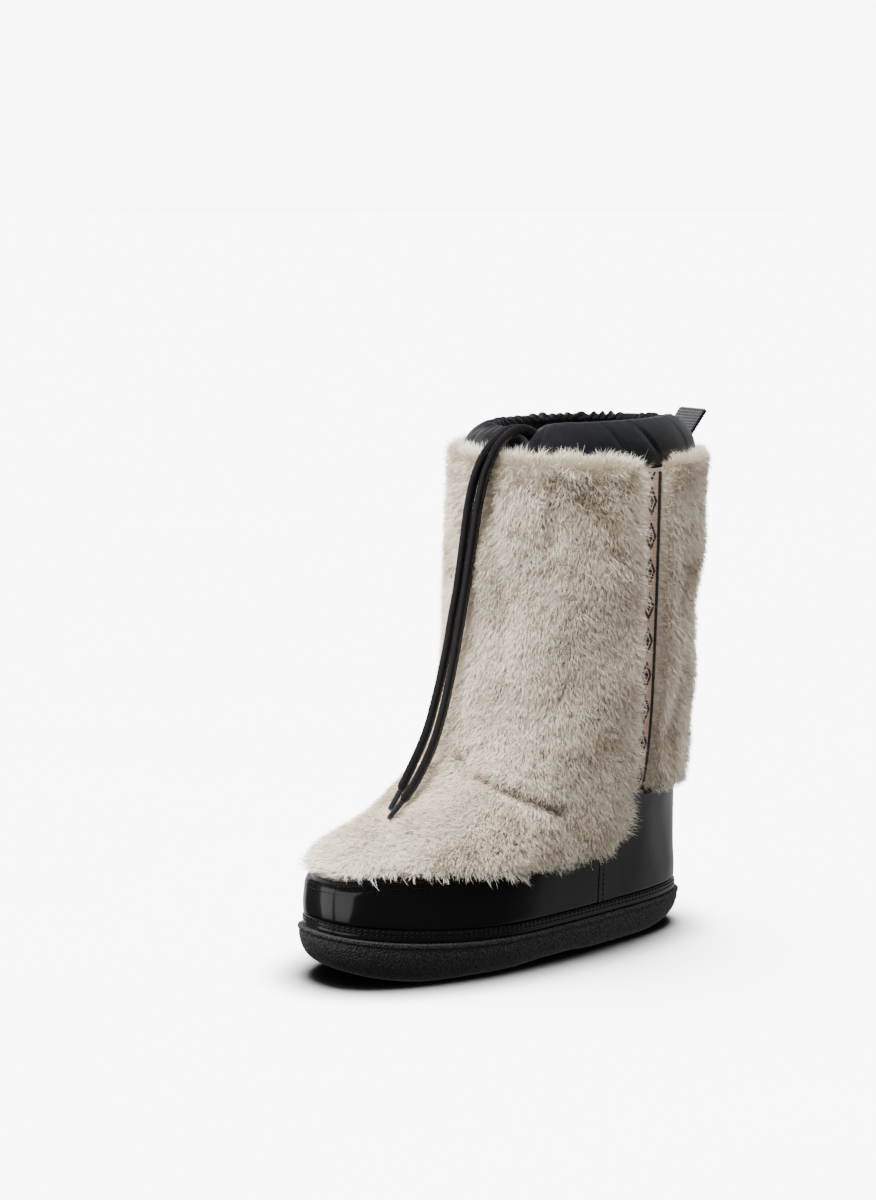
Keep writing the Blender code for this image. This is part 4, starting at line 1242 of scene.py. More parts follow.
def add_pile(name, root, outward, lay, stand, length, reach, tone, gather):
    """One piece of flat tapering strands that root at these points, lean along lay and bend over once.

    A strand that would reach further along lay than it may stands up and is cut shorter. The tips of a
    clump are drawn together by the shares in gather.
    """
    count = len(root)
    bend = STRAND_BEND * stand
    (first_part, first_draw), (last_part, last_draw) = STRAND_PARTS
    far = length * (first_part * np.cos(stand) + last_part * np.cos(bend))
    share = np.clip(reach / far, LEAST_REACH, 1)
    length = length * (LEAST_LENGTH + (1 - LEAST_LENGTH) * share)
    middle_of, cell = clumps(root, CLUMP)
    pull = middle_of - root
    pull -= outward * np.einsum("ij,ij->i", pull, outward)[:, None]
    joints = [root, root]
    for angle, part, drawn in ((stand, first_part, first_draw), (bend, last_part, last_draw)):
        flat = share * np.cos(angle)
        rise = np.sqrt(1 - flat**2)
        step = flat[:, None] * lay + rise[:, None] * outward
        joints.append(joints[-1] + step * (part * length)[:, None] + drawn * gather[:, None] * pull)
    middle, tip = joints[2:]
    across = unit(np.cross(lay, outward) + STRAND_ROLL * outward * fur_draw.normal(size=count)[:, None])
    width = STRAND_WIDTH * (WIDTH_LEAST + WIDTH_SPREAD * fur_draw.random(count))
    width = width * (DARK_WIDTH + (PALE_WIDTH - DARK_WIDTH) * np.clip(tone, 0, 1))
    half = across * (width / 2)[:, None]
    slim = STRAND_TAPER * half
    points = np.stack([root - half, root + half, middle - slim, middle + slim, tip], axis=1)
    first = np.arange(count)[:, None] * 5
    corners = np.concatenate([first + np.array([[0, 1, 3, 2]]), first + np.array([[2, 3, 4]])], axis=1)
    mesh = bpy.data.meshes.new(name)
    mesh.vertices.add(count * 5)
    mesh.vertices.foreach_set("co", (points + boot_place).astype(np.float32).ravel())
    mesh.loops.add(count * 7)
    mesh.loops.foreach_set("vertex_index", corners.astype(np.int32).ravel())
    mesh.polygons.add(count * 2)
    starts = np.arange(count)[:, None] * 7 + np.array([[0, 4]])
    mesh.polygons.foreach_set("loop_start", starts.astype(np.int32).ravel())
    mesh.update(calc_edges=True)
    mesh.shade_smooth()
    tone = np.clip(tone + CLUMP_TONE * (scatter(cell, 7) - 0.5), 2 * TONE_HALF, 1 - 2 * TONE_HALF)
    parts = np.zeros((count, 5, 3), np.float32)
    parts[:, 2:4, 0] = first_part
    parts[:, 4, 0] = 1.0
    parts[:, :, 1] = tone[:, None]
    mesh.attributes.new("strand", "FLOAT_VECTOR", "POINT").data.foreach_set("vector", parts.ravel())
    spread = np.array([-TONE_HALF, TONE_HALF, -TONE_HALF, TONE_HALF, 0])
    places = np.stack([parts[:, :, 1] + spread, 0.01 + 0.98 * parts[:, :, 0]], axis=-1)
    corner_places = places.reshape(-1, 2)[corners.ravel()].astype(np.float32)
    mesh.uv_layers.new(name="OFBake").data.foreach_set("uv", corner_places.ravel())
    mesh.materials.append(plush)
    piece = bpy.data.objects.new(name, mesh)
    bpy.context.scene.collection.objects.link(piece)
    enter(piece, "fur", "upper")


def tape_limits(station, tuft):
    """(way to the tape along the stations, how near it is from 0 to 1, reach before it) for fur strands."""
    side = np.abs(station)
    front = side < TAPE_MIDDLE
    away = np.where(front, TAPE_FRONT - side, side - TAPE_REAR) * PILE_FALL
    near_front = ease((side - FRONT_TURN[0]) / FRONT_TURN[1])
    near_back = ease((BACK_TURN[0] - side) / BACK_TURN[1])
    spike = np.where(front, SPIKE_BASE + FRONT_SPIKE * tuft, BACK_SPIKE * tuft)
    way = np.sign(station) * np.where(front, 1.0, -1.0)
    return way, np.where(front, near_front, near_back), np.maximum(away, 0) + spike


def tufted(points):
    """Random shares for the ends of strands, mostly small and alike within a tuft."""
    alike = scatter(clumps(points, CLUMP)[1], 9) ** TUFT_POWER
    return alike * (TUFT_LEAST + (1 - TUFT_LEAST) * fur_draw.random(len(points)))


def grow_panel(name, station, level):
    """The pile of one stretch of fur, from the places where its strands root."""
    count = len(station)
    side = np.abs(station)
    behind = side > TAPE_MIDDLE
    ahead, upward, outward = shell_ways(station, level)
    bed, trough, over_edge = fur_bed(station, level)
    root = offset_shell(station, level, bed) + GAP * upright
    top = offset_shell(station, level, pile_at(station))
    opened = np.zeros(count)
    for places, half_width, share in OPEN_NAP:
        opened = np.maximum(opened, share * line_share(top, places, half_width))
    tuft = tufted(root)
    tape_way, to_tape, tape_reach = tape_limits(station, tuft)
    under_top = np.linalg.norm(shell(station, 1.0) - shell(station, level), axis=1)
    topmost = np.clip(1 - under_top / (np.where(behind, RAISED_BEHIND, 1) * RAISED_DROP), 0, 1)
    raised = fur_draw.random(count) < topmost
    # The brushed toe lies flatter and is painted paler as painted light
    brushed = ease((BRUSHED_LIT_STATION[0] - side) / BRUSHED_LIT_STATION[1])
    brushed = brushed * ease((BRUSHED_LIT_LEVEL[0] - level) / BRUSHED_LIT_LEVEL[1])
    # Painted shade on the leg's sides
    side_painted_shade = ease((side - SIDE_SHADE_STATION[0]) / SIDE_SHADE_STATION[1])
    side_painted_shade = side_painted_shade * ease((level - SIDE_SHADE_LEVEL[0]) / SIDE_SHADE_LEVEL[1]) * ~behind
    near_edge = ease((EDGE_RUN - over_edge) / EDGE_RUN)
    rim = np.maximum(near_edge, np.where(behind, BACK_RIM * to_tape, to_tape))
    swirl = sum(share * drift(top, size, seed) for share, size, seed in SWIRLS)
    swirl = swirl * np.where(behind, BACK_SWIRL, 1.0)
    lay = swirl[:, None] * ahead + np.where(raised, 1, -1)[:, None] * upward
    lay = unit(lay) * (1 - TAPE_TURN * to_tape)[:, None] + (to_tape * tape_way)[:, None] * ahead
    lay = unit(lay + LAY_SPREAD * fur_draw.normal(size=(count, 3)))
    lay = unit(lay - outward * np.einsum("ij,ij->i", lay, outward)[:, None])
    tuft_turn = (scatter(clumps(root, TUFT_SIZE)[1], 5) - 0.5) * TUFT_TURN
    lay = unit(lay + np.cross(outward, lay) * tuft_turn[:, None])
    length = STRAND_LENGTH * (LENGTH_LEAST + LENGTH_SPREAD * fur_draw.random(count))
    length = length * (THIN_LENGTH + (1 - THIN_LENGTH) * pile_at(station) / PILE)
    length = length * (1 - CREASE_LENGTH * trough)
    length = length * (1 + np.where(behind, 0, TAPE_LENGTH * to_tape) + TUFT_LENGTH * rim * tuft)
    changes = np.stack([opened, topmost, trough, rim, brushed, behind, side_painted_shade])
    stand = STAND_DEGREES + STAND_CHANGES @ changes + fur_draw.normal(scale=STAND_SPREAD, size=count)
    overhang = np.where(behind, BACK_OVERHANG, FRONT_OVERHANG) * tuft
    down = -np.einsum("ij,ij->i", lay, upward)
    sideways = np.einsum("ij,ij->i", lay, ahead) * tape_way
    edge_reach = (over_edge + EDGE_PASS + overhang) / np.maximum(down, LEAST_WAY)
    reach = np.minimum(edge_reach, tape_reach / np.maximum(sideways, LEAST_WAY))
    tone = PLAIN_TONE + TONE_DRIFT * drift(top, TONE_DRIFT_SIZE, 23)
    tone = tone + TONE_SPREAD * fur_draw.normal(size=count)
    # Painted shade and light in the tone: darker in creases, open nap and on the leg's sides, paler on the
    # top, the rims, the toe and the back panel
    tone = tone + TONE_CHANGES @ changes
    stand = np.radians(np.clip(stand, *STAND_LIMITS))
    add_pile(name, root, outward, lay, stand, length, reach, tone, GATHER + RIM_GATHER * rim)


FULL_COUNT = 1.0
VAMP_SHARE = 0.42
FUR_SIDE = 1.97
BACK_START = TAPE_REAR + 0.05
BACK_STRANDS = int(28000 * FULL_COUNT)
# Fur pieces of the front: name, stations from and to, shares of the height from and to, strands
for name, first, last, low, high, count in (
    ("fur_leg_outer", 0.0, FUR_SIDE, VAMP_SHARE, 1.0, 60000),
    ("fur_leg_inner", -FUR_SIDE, 0.0, VAMP_SHARE, 1.0, 42000),
    ("fur_vamp", -FUR_SIDE, FUR_SIDE, 0.0, VAMP_SHARE, 56000),
):
    grow_panel(name, *surface_draw(int(count * FULL_COUNT), first, last, low, high))
back_outer = surface_draw(BACK_STRANDS, BACK_START, HEEL, 0.0, 1.0)
back_inner = surface_draw(BACK_STRANDS, -HEEL, -BACK_START, 0.0, 1.0)
grow_panel("fur_leg_back", *(np.concatenate(pair) for pair in zip(back_outer, back_inner)))

# Top edge of the fur
# The cut top edge of both panels is a soft roll round the collar. Strands on its outer side lie up or down
# at random, those on top stand up and are painted paler as painted light, and it is low behind for the pull
# loop.

LIP_STRANDS = int(18000 * FULL_COUNT)
LIP_FRONT_POINTS = 400
LIP_BACK_POINTS = 300
LIP_SCATTER = 0.004
LIP_SPAN = (-40, 115)
# Turn round the roll where its top begins, and the run to it
LIP_TOP = (20, 60)
LIP_DOWN_RUN = 75
LIP_SWAY = 0.5
LIP_SWAY_SIZE = 0.030
# Strands on top lean less along the roll, by this share
LIP_TOP_LEAN = 0.6
LIP_SPREAD = 0.40
# Strands have their full length where the roll has this share of its height, and least where it has none
LIP_TOP_LEVEL = 0.6
LIP_LOW_LENGTH = 0.40
LIP_BACK_LENGTH = 0.75
# Lengths as shares: least, spread, won by a tuft. Stands in degrees: plain, more on top, spread. Tones:
# plain, more on top, more in a tuft, spread; the paler top and tufts are painted light.
LIP_LENGTHS = (0.55, 0.50, 1.10)
LIP_STANDS = (48, 15, 18)
LIP_TONES = (0.50, 0.28, 0.40, 0.12)
LIP_TOP_GATHER = 0.30
lip_run = np.concatenate(
    [
        np.linspace(-FUR_SIDE, FUR_SIDE, LIP_FRONT_POINTS),
        np.linspace(BACK_START, 2 * HEEL - BACK_START, LIP_BACK_POINTS),
    ]
)
lip_line = shell(np.where(lip_run > HEEL, lip_run - 2 * HEEL, lip_run), np.ones_like(lip_run))
lip_weight = np.linalg.norm(np.gradient(lip_line, axis=0), axis=1)
# The step from the front panel to the back one is no part of the edge
lip_weight[LIP_FRONT_POINTS - 1 : LIP_FRONT_POINTS + 1] = 0
pick = fur_draw.choice(len(lip_run), LIP_STRANDS, p=lip_weight / lip_weight.sum())
lip_station = lip_run[pick] + fur_draw.normal(scale=LIP_SCATTER, size=LIP_STRANDS)
lip_station = np.where(lip_station > HEEL, lip_station - 2 * HEEL, lip_station)
lip_turn = fur_draw.uniform(*LIP_SPAN, LIP_STRANDS)
lip_root = lip_ground(lip_station, lip_turn) + GAP * upright
lip_ahead, lip_up, lip_side = shell_ways(lip_station, np.ones(LIP_STRANDS))
lip_tilt = np.radians(np.maximum(lip_turn, 0))[:, None]
cosine, sine = np.cos(lip_tilt), np.sin(lip_tilt)
lip_out = cosine * lip_side + sine * lip_up
lip_tuft = tufted(lip_root)
tape_way, to_tape, tape_reach = tape_limits(lip_station, lip_tuft)
on_top = ease((lip_turn - LIP_TOP[0]) / LIP_TOP[1])
lip_sway = LIP_SWAY * (drift(lip_root, LIP_SWAY_SIZE, 31) + fur_draw.normal(size=LIP_STRANDS))
lip_down = fur_draw.random(LIP_STRANDS) < 0.5 - 0.5 * ease((lip_turn - LIP_SPAN[0]) / LIP_DOWN_RUN)
lip_lean = np.where(lip_down, -1, 1) * (1 - LIP_TOP_LEAN * on_top)
lip_lay = lip_lean[:, None] * (cosine * lip_up - sine * lip_side)
lip_lay = unit(lip_lay + (lip_sway + to_tape * tape_way)[:, None] * lip_ahead)
lip_lay = lip_lay + LIP_SPREAD * fur_draw.normal(size=(LIP_STRANDS, 3))
lip_lay = unit(lip_lay - lip_out * np.einsum("ij,ij->i", lip_lay, lip_out)[:, None])
lip_share = np.minimum(lip_height(lip_station) / FUR_LIP / LIP_TOP_LEVEL, 1)
least, spread, won = LIP_LENGTHS
lip_length = STRAND_LENGTH * (least + spread * fur_draw.random(LIP_STRANDS) + won * lip_tuft)
lip_length = lip_length * (LIP_LOW_LENGTH + (1 - LIP_LOW_LENGTH) * lip_share)
lip_length = lip_length * np.where(np.abs(lip_station) > TAPE_MIDDLE, LIP_BACK_LENGTH, 1)
plain, more, spread = LIP_STANDS
lip_stand = plain + more * on_top + fur_draw.normal(scale=spread, size=LIP_STRANDS)
lip_sideways = np.einsum("ij,ij->i", lip_lay, lip_ahead) * tape_way
plain, more, tufts, spread = LIP_TONES
lip_tone = plain + more * on_top + tufts * lip_tuft + spread * fur_draw.normal(size=LIP_STRANDS)
add_pile(
    "fur_top_edge",
    lip_root,
    lip_out,
    lip_lay,
    np.radians(np.clip(lip_stand, *STAND_LIMITS)),
    lip_length,
    tape_reach / np.maximum(lip_sideways, LEAST_WAY),
    lip_tone,
    GATHER + LIP_TOP_GATHER * on_top,
)

# Collar
# A padded nylon cuff sewn in at the top seam and gathered by a cord in its mouth. The outer wall is puffed
# and pulled into a few slanting creases, the mouth is pleated, and the front gap lets the cord out.

# Collar rows: rise over the seam, distance out from the shell
COLLAR_ROWS = (
    (0.0000, -0.0010),
    (0.0035, 0.0008),
    (0.0085, 0.0014),
    (0.0145, -0.0002),
    (0.0200, -0.0042),
    (0.0240, -0.0100),
    (0.0258, -0.0155),
    (0.0250, -0.0198),
    (0.0215, -0.0205),
    (0.0150, -0.0160),
    (0.0080, -0.0095),
    (0.0000, -0.0045),
)
COLLAR_STEPS = 48
COLLAR_COLUMNS = 720
CORD_GAP_X = 0.026
CORD_GAP_HALF = 0.011
CORD_GAP_DEPTH = 0.34
LOBE_RISE = 0.14
PLEAT_PITCH = 0.0085
PLEAT_DEPTH = 0.0015
# Pleats wander by so many radians over this size, and their depth varies: mean, change, size of the change
PLEAT_WANDER = (2.2, 0.045)
PLEAT_VARIES = (0.75, 0.55, 0.022)
# Folds move the wall out, the inside in and the mouth up, by these shares of their depth
FOLD_SHARES = (0.8, -0.6, 0.7)
# The gap's outer slope is shorter by this share
GAP_LEAN = 0.6
# Where the wall and the pleated mouth lie round the collar's section, and over how much of it
WALL_PLACE = (0.29, 0.12)
MOUTH_PLACE = (0.62, 0.20)
MOUTH_TURN = 0.72
LOBE_START = 0.020
LOBE_RUN = 0.030
LOBE_SMOOTH = 0.90
# A crease is steep on one side of its line and gentle on the other, as shares of its half width
CREASE_STEEP = 0.6
CREASE_GENTLE = 2.6
# Creases of the outer wall: run round the seam at their foot and head, half width, depth. Runs are metres
# from the middle of the front, towards the outer side.
COLLAR_CREASES = (
    (0.038, 0.044, 0.0014, 0.0026),
    (0.108, 0.086, 0.0014, 0.0030),
    (0.132, 0.110, 0.0014, 0.0028),
    (0.158, 0.150, 0.0030, 0.0008),
    (0.016, 0.000, 0.0028, 0.0036),
    (-0.012, -0.026, 0.0030, 0.0034),
    (-0.060, -0.050, 0.0024, 0.0016),
    (-0.104, -0.094, 0.0024, 0.0016),
    (-0.150, -0.142, 0.0026, 0.0014),
    (0.190, 0.182, 0.0026, 0.0012),
    (-0.192, -0.186, 0.0026, 0.0014),
)
seam_stations = whole_ring(200, 40, 40, 160)
seam_line = shell(seam_stations, np.ones_like(seam_stations))
seam_run = run_length(np.concatenate([seam_line, seam_line[:1]]))
collar_run = np.linspace(0, seam_run[-1], COLLAR_COLUMNS, endpoint=False)
unrolled = np.where(seam_stations < 0, seam_stations + 2 * HEEL, seam_stations)
collar_stations = np.interp(collar_run, seam_run, np.concatenate([unrolled, [2 * HEEL]]))
collar_stations = np.where(collar_stations > HEEL, collar_stations - 2 * HEEL, collar_stations)
collar_seam = shell(collar_stations, np.ones_like(collar_stations))
signed_run = np.where(collar_run > seam_run[-1] / 2, collar_run - seam_run[-1], collar_run)
gap_away = collar_seam[:, 0] - CORD_GAP_X
gap_away = gap_away / np.where(gap_away > 0, GAP_LEAN * CORD_GAP_HALF, CORD_GAP_HALF)
gap_share = 1 - CORD_GAP_DEPTH * np.exp(-(gap_away**2)) * (collar_seam[:, 1] < TAPE_TOP_Y)
pleat_phase = 2 * np.pi * signed_run / PLEAT_PITCH
pleat_phase = pleat_phase + PLEAT_WANDER[0] * drift(collar_seam, PLEAT_WANDER[1], 41)
mean, change, size = PLEAT_VARIES
pleat = np.sin(pleat_phase) * (mean + change * drift(collar_seam, size, 42))
near_lobe = ease((collar_seam[:, 0] - LOBE_START) / LOBE_RUN)
pleat_strength = 1 - LOBE_SMOOTH * near_lobe
collar_rings = []
for k, (rise, out) in enumerate(profile(COLLAR_ROWS, COLLAR_STEPS)):
    around = k / COLLAR_STEPS
    mouth = np.exp(-(((around - MOUTH_PLACE[0]) / MOUTH_PLACE[1]) ** 2))
    wall = np.exp(-(((around - WALL_PLACE[0]) / WALL_PLACE[1]) ** 2))
    folds = PLEAT_DEPTH * mouth * pleat_strength * pleat
    for foot, head, half_width, depth in COLLAR_CREASES:
        line = foot + (head - foot) * np.clip(around / 0.5, 0, 1)
        away = (signed_run - line + seam_run[-1] / 2) % seam_run[-1] - seam_run[-1] / 2
        away = away / np.where(away > 0, CREASE_STEEP * half_width, CREASE_GENTLE * half_width)
        folds = folds - depth * wall * np.exp(-(away**2))
    fold_out = FOLD_SHARES[0] if around < MOUTH_TURN else FOLD_SHARES[1]
    ring = offset_shell(collar_stations, 1, out + fold_out * folds)
    ring[:, 2] += 2 * GAP + rise * gap_share * (1 + LOBE_RISE * near_lobe) + FOLD_SHARES[2] * folds * mouth
    collar_rings.append(ring)

# Coated nylon: black plain weave with a low sheen along the folds
nylon = new_finish("coated_nylon")
place = add_node(nylon, "TexCoord", {}).outputs["Object"]
crinkle = add_node(nylon, "TexNoise", {"Vector": place, "Scale": 1 / 0.007, "Detail": 4.0})
threads = add_node(nylon, "TexNoise", {"Vector": place, "Scale": 1 / 0.0006, "Detail": 1.0})
nylon_colour = add_node(
    nylon,
    "Mix",
    {"Factor": crinkle.outputs["Fac"], 6: linear("0E0F11"), 7: linear("18191C")},
    data_type="RGBA",
)
sheen = add_node(nylon, "MapRange", {"Value": crinkle.outputs["Fac"], "To Min": 0.40, "To Max": 0.58})
wrinkles = add_node(nylon, "Bump", {"Height": crinkle.outputs["Fac"], "Strength": 0.35, "Distance": 0.0012})
weave = add_node(
    nylon,
    "Bump",
    {"Height": threads.outputs["Fac"], "Strength": 0.2, "Distance": 0.0002, "Normal": wrinkles},
)
shader = add_node(
    nylon,
    "BsdfPrincipled",
    {
        "Base Color": nylon_colour,
        "Roughness": sheen,
        "Sheen Weight": 0.04,
        "Sheen Roughness": 0.4,
        "Normal": weave,
    },
)
add_node(nylon, "OutputMaterial", {"Surface": shader})

collar = add_piece(
    "padded_collar",
    np.concatenate(collar_rings),
    grid_faces(len(collar_rings), COLLAR_COLUMNS, close_rows=True, close_columns=True),
    nylon,
    crease=70.0,
)
enter(collar, "collar_nylon", "collar")

# Pull loop
# A strip of ribbed webbing folded double, sewn in at the back of the collar seam and leaning away over
# the fur.

LOOP_THICK = 0.0014
LOOP_SPACE = 0.0008
LOOP_RISE = 0.0030
LOOP_RIB = 0.0023
LOOP_YARN = 0.0009
LOOP_SELVEDGE = 0.0008
SELVEDGE_THICK = 0.45
LOOP_RIB_DEPTH = 0.00036
# Rows of the loop's middle line: distance back and up from its sewn end
LOOP_LINE_ROWS = ((0.000, 0.000), (0.0036, 0.006), (0.0088, 0.0124), (0.0146, 0.0192), (0.0200, 0.0256))
LOOP_STEPS = 90
loop_line = profile(LOOP_LINE_ROWS, LOOP_STEPS)
loop_way = unit(np.gradient(loop_line, axis=0))
loop_side = np.stack([loop_way[:, 1], -loop_way[:, 0]], axis=1)
fold_turn = np.linspace(0, np.pi, 14)[1:-1, None]
loop_seat = offset_shell(float(HEEL), 1.0, -0.0008)
loop_start = loop_seat[1:] + [GAP + LOOP_THICK + LOOP_SPACE / 2, LOOP_RISE]


def loop_layer(half):
    """The folded line of the strip at a distance from its middle, up one side and down the other."""
    fold = loop_line[-1] + half * (loop_side[-1] * -np.cos(fold_turn) + loop_way[-1] * np.sin(fold_turn))
    up, down = loop_line - half * loop_side, loop_line + half * loop_side
    return loop_start + np.concatenate([up, fold, down[::-1]])


loop_outer = loop_layer(LOOP_THICK + LOOP_SPACE / 2)
loop_inner = loop_layer(LOOP_SPACE / 2)
loop_out = unit(loop_outer - loop_inner)
ribs_along = LOOP_RIB_DEPTH * (np.sin(2 * np.pi * run_length(loop_outer) / LOOP_RIB) - 1)
loop_outline = np.concatenate([loop_outer + loop_out * ribs_along[:, None], loop_inner[::-1]])
# Columns across the strip: share of the half width, thinning towards the selvedge
LOOP_COLUMNS = np.array([-1.0, -0.985, -0.94, -0.6, -0.2, 0.2, 0.6, 0.94, 0.985, 1.0])
loop_middle = np.concatenate([(loop_outer + loop_inner) / 2, (loop_outer + loop_inner)[::-1] / 2])
loop_rings = []
for share in LOOP_COLUMNS:
    inset = np.array((1 - abs(share)) * LOOP_WIDTH / 2)
    thick = SELVEDGE_THICK + (1 - SELVEDGE_THICK) * float(rolled(inset, LOOP_SELVEDGE))
    outline = loop_middle + (loop_outline - loop_middle) * thick
    loop_rings.append(np.insert(outline, 0, share * LOOP_WIDTH / 2, axis=1))

# Ribbed webbing: black polyester with cross ribs and a faint lint mottle
webbing = new_finish("ribbed_webbing")
place = add_node(webbing, "TexCoord", {}).outputs["Object"]
yarns = add_node(
    webbing,
    "TexWave",
    {"Vector": place, "Scale": 0.5 / LOOP_YARN / math.pi, "Distortion": 1.0, "Detail": 2.0},
    bands_direction="X",
)
lint = add_node(webbing, "TexNoise", {"Vector": place, "Scale": 1 / 0.002, "Detail": 3.0})
yarn_colour = add_node(
    webbing,
    "Mix",
    {"Factor": lint.outputs["Fac"], 6: linear("17181A"), 7: linear("34363A")},
    data_type="RGBA",
)
bumps = add_node(webbing, "Bump", {"Height": yarns.outputs["Fac"], "Strength": 0.5, "Distance": 0.0002})
shader = add_node(
    webbing,
    "BsdfPrincipled",
    {
        "Base Color": yarn_colour,
        "Roughness": 0.7,
        "Sheen Weight": 0.15,
        "Normal": bumps,
    },
)
add_node(webbing, "OutputMaterial", {"Surface": shader})

pull_loop = add_piece(
    "webbing_pull_loop",
    np.concatenate(loop_rings),
    capped_faces(len(loop_rings), len(loop_outline)),
    webbing,
    crease=60.0,
)
enter(pull_loop, "loop_webbing", "pull_loop")

# Drawcord
# Two strands of round black braid come out of the collar's front gap, hump over its edge, hang down the
# front of the leg and lie on the vamp. Each ends in a pressed-on plastic sleeve.

CORD_DIAMETER = 0.0060
CORD_SIDES = 24
CORD_RING_STEP = 0.00070
CORD_PLAITS = 8
CORD_PLAIT_RUN = 0.0030
CORD_RELIEF = 0.045
# Each strand narrows over this run at its end, by this share
CORD_END_RUN = 0.004
CORD_END_LOSS = 0.35
AGLET_LENGTH = 0.0165
# Aglet rows: share of the length, radius
AGLET_ROWS = (
    (0.000, 0.00150),
    (0.012, 0.00182),
    (0.060, 0.00192),
    (0.110, 0.00186),
    (0.150, 0.00170),
    (0.190, 0.00186),
    (0.500, 0.00182),
    (0.900, 0.00176),
    (0.970, 0.00160),
    (1.000, 0.00110),
)
# Routes of the strands, in the boot's own frame: x, y, z
INNER_CORD_ROUTE = (
    (0.0202, 0.0110, 0.3342),
    (0.0188, 0.0062, 0.3374),
    (0.0174, 0.0002, 0.3388),
    (0.0166, -0.0064, 0.3372),
    (0.0162, -0.0126, 0.3334),
    (0.0158, -0.0184, 0.3284),
    (0.0142, -0.0228, 0.3215),
    (0.0110, -0.0246, 0.3135),
    (0.0078, -0.0252, 0.3055),
    (0.0050, -0.0256, 0.2960),
    (0.0030, -0.0260, 0.2870),
    (0.0003, -0.0272, 0.2670),
    (-0.0040, -0.0292, 0.2365),
    (-0.0070, -0.0310, 0.2190),
    (-0.0088, -0.0330, 0.2025),
    (-0.0102, -0.0356, 0.1880),
    (-0.0112, -0.0384, 0.1750),
    (-0.0118, -0.0416, 0.1635),
    (-0.0120, -0.0448, 0.1535),
    (-0.0120, -0.0488, 0.1440),
    (-0.0116, -0.0542, 0.1345),
    (-0.0104, -0.0614, 0.1245),
    (-0.0084, -0.0684, 0.1163),
    (-0.0064, -0.0726, 0.1122),
)
OUTER_CORD_ROUTE = (
    (0.0262, 0.0094, 0.3356),
    (0.0250, 0.0050, 0.3382),
    (0.0240, -0.0008, 0.3390),
    (0.0232, -0.0076, 0.3368),
    (0.0228, -0.0138, 0.3322),
    (0.0224, -0.0186, 0.3270),
    (0.0210, -0.0216, 0.3205),
    (0.0186, -0.0232, 0.3140),
    (0.0164, -0.0240, 0.3060),
    (0.0142, -0.0248, 0.2970),
    (0.0125, -0.0256, 0.2880),
    (0.0092, -0.0268, 0.2680),
    (0.0049, -0.0292, 0.2375),
    (0.0026, -0.0310, 0.2200),
    (0.0008, -0.0330, 0.2035),
    (-0.0004, -0.0354, 0.1890),
    (-0.0014, -0.0380, 0.1763),
    (-0.0020, -0.0408, 0.1646),
    (-0.0022, -0.0438, 0.1548),
    (-0.0022, -0.0474, 0.1452),
    (-0.0018, -0.0522, 0.1356),
    (-0.0008, -0.0592, 0.1256),
    (0.0006, -0.0668, 0.1168),
    (0.0026, -0.0740, 0.1110),
    (0.0042, -0.0786, 0.1080),
)
INNER_TIP = (0.0004, -0.0858, 0.1026)
OUTER_TIP = (0.0094, -0.0936, 0.0992)
CURVE_STEPS = 16


def curve_through(route, spacing):
    """Evenly spaced points on a smooth curve through all the points of a route."""
    knots = np.array(route, float)
    ends = np.concatenate([[2 * knots[0] - knots[1]], knots, [2 * knots[-1] - knots[-2]]])
    t = np.linspace(0, 1, CURVE_STEPS, endpoint=False)[:, None]
    fine = []
    for a, b, c, d in zip(ends, ends[1:], ends[2:], ends[3:]):
        bend = (2 * a - 5 * b + 4 * c - d) * t**2 + (3 * b - a - 3 * c + d) * t**3
        fine.append(b + ((c - a) * t + bend) / 2)
    fine = np.concatenate(fine + [knots[-1:]])
    run = run_length(fine)
    at = np.linspace(0, run[-1], int(round(run[-1] / spacing)) + 1)
    return np.stack([np.interp(at, run, fine[:, k]) for k in range(3)], axis=1)


def tube_rings(path, radius):
    """Rings round a path that don't twist, with a radius for each ring and side."""
    way = unit(np.gradient(path, axis=0))
    across = unit(np.cross(way[0], [1.0, 0.0, 0.0]))
    turn = np.linspace(0, 2 * np.pi, radius.shape[1], endpoint=False)[:, None]
    rings = []
    for point, ahead, sizes in zip(path, way, radius):
        across = unit(across - ahead * (across @ ahead))
        circle = np.cos(turn) * across + np.sin(turn) * np.cross(ahead, across)
        rings.append(point + circle * sizes[:, None])
    return np.array(rings)


# Braided polyester: black, tightly plaited, with a dull shine on each plait
braid = noise_finish(
    "braided_polyester", 0.0008, {"Detail": 3.0}, ("0A0A0B", "1A1A1C"), (0.36, 0.55), (0.25, 0.0002), {}
)
# Acetate sleeve: black, smooth and lightly scuffed
acetate = noise_finish(
    "acetate_sleeve", 0.002, {"Detail": 4.0}, ("141416", "242528"), (0.22, 0.42), (0.08, 0.0002), {}
)

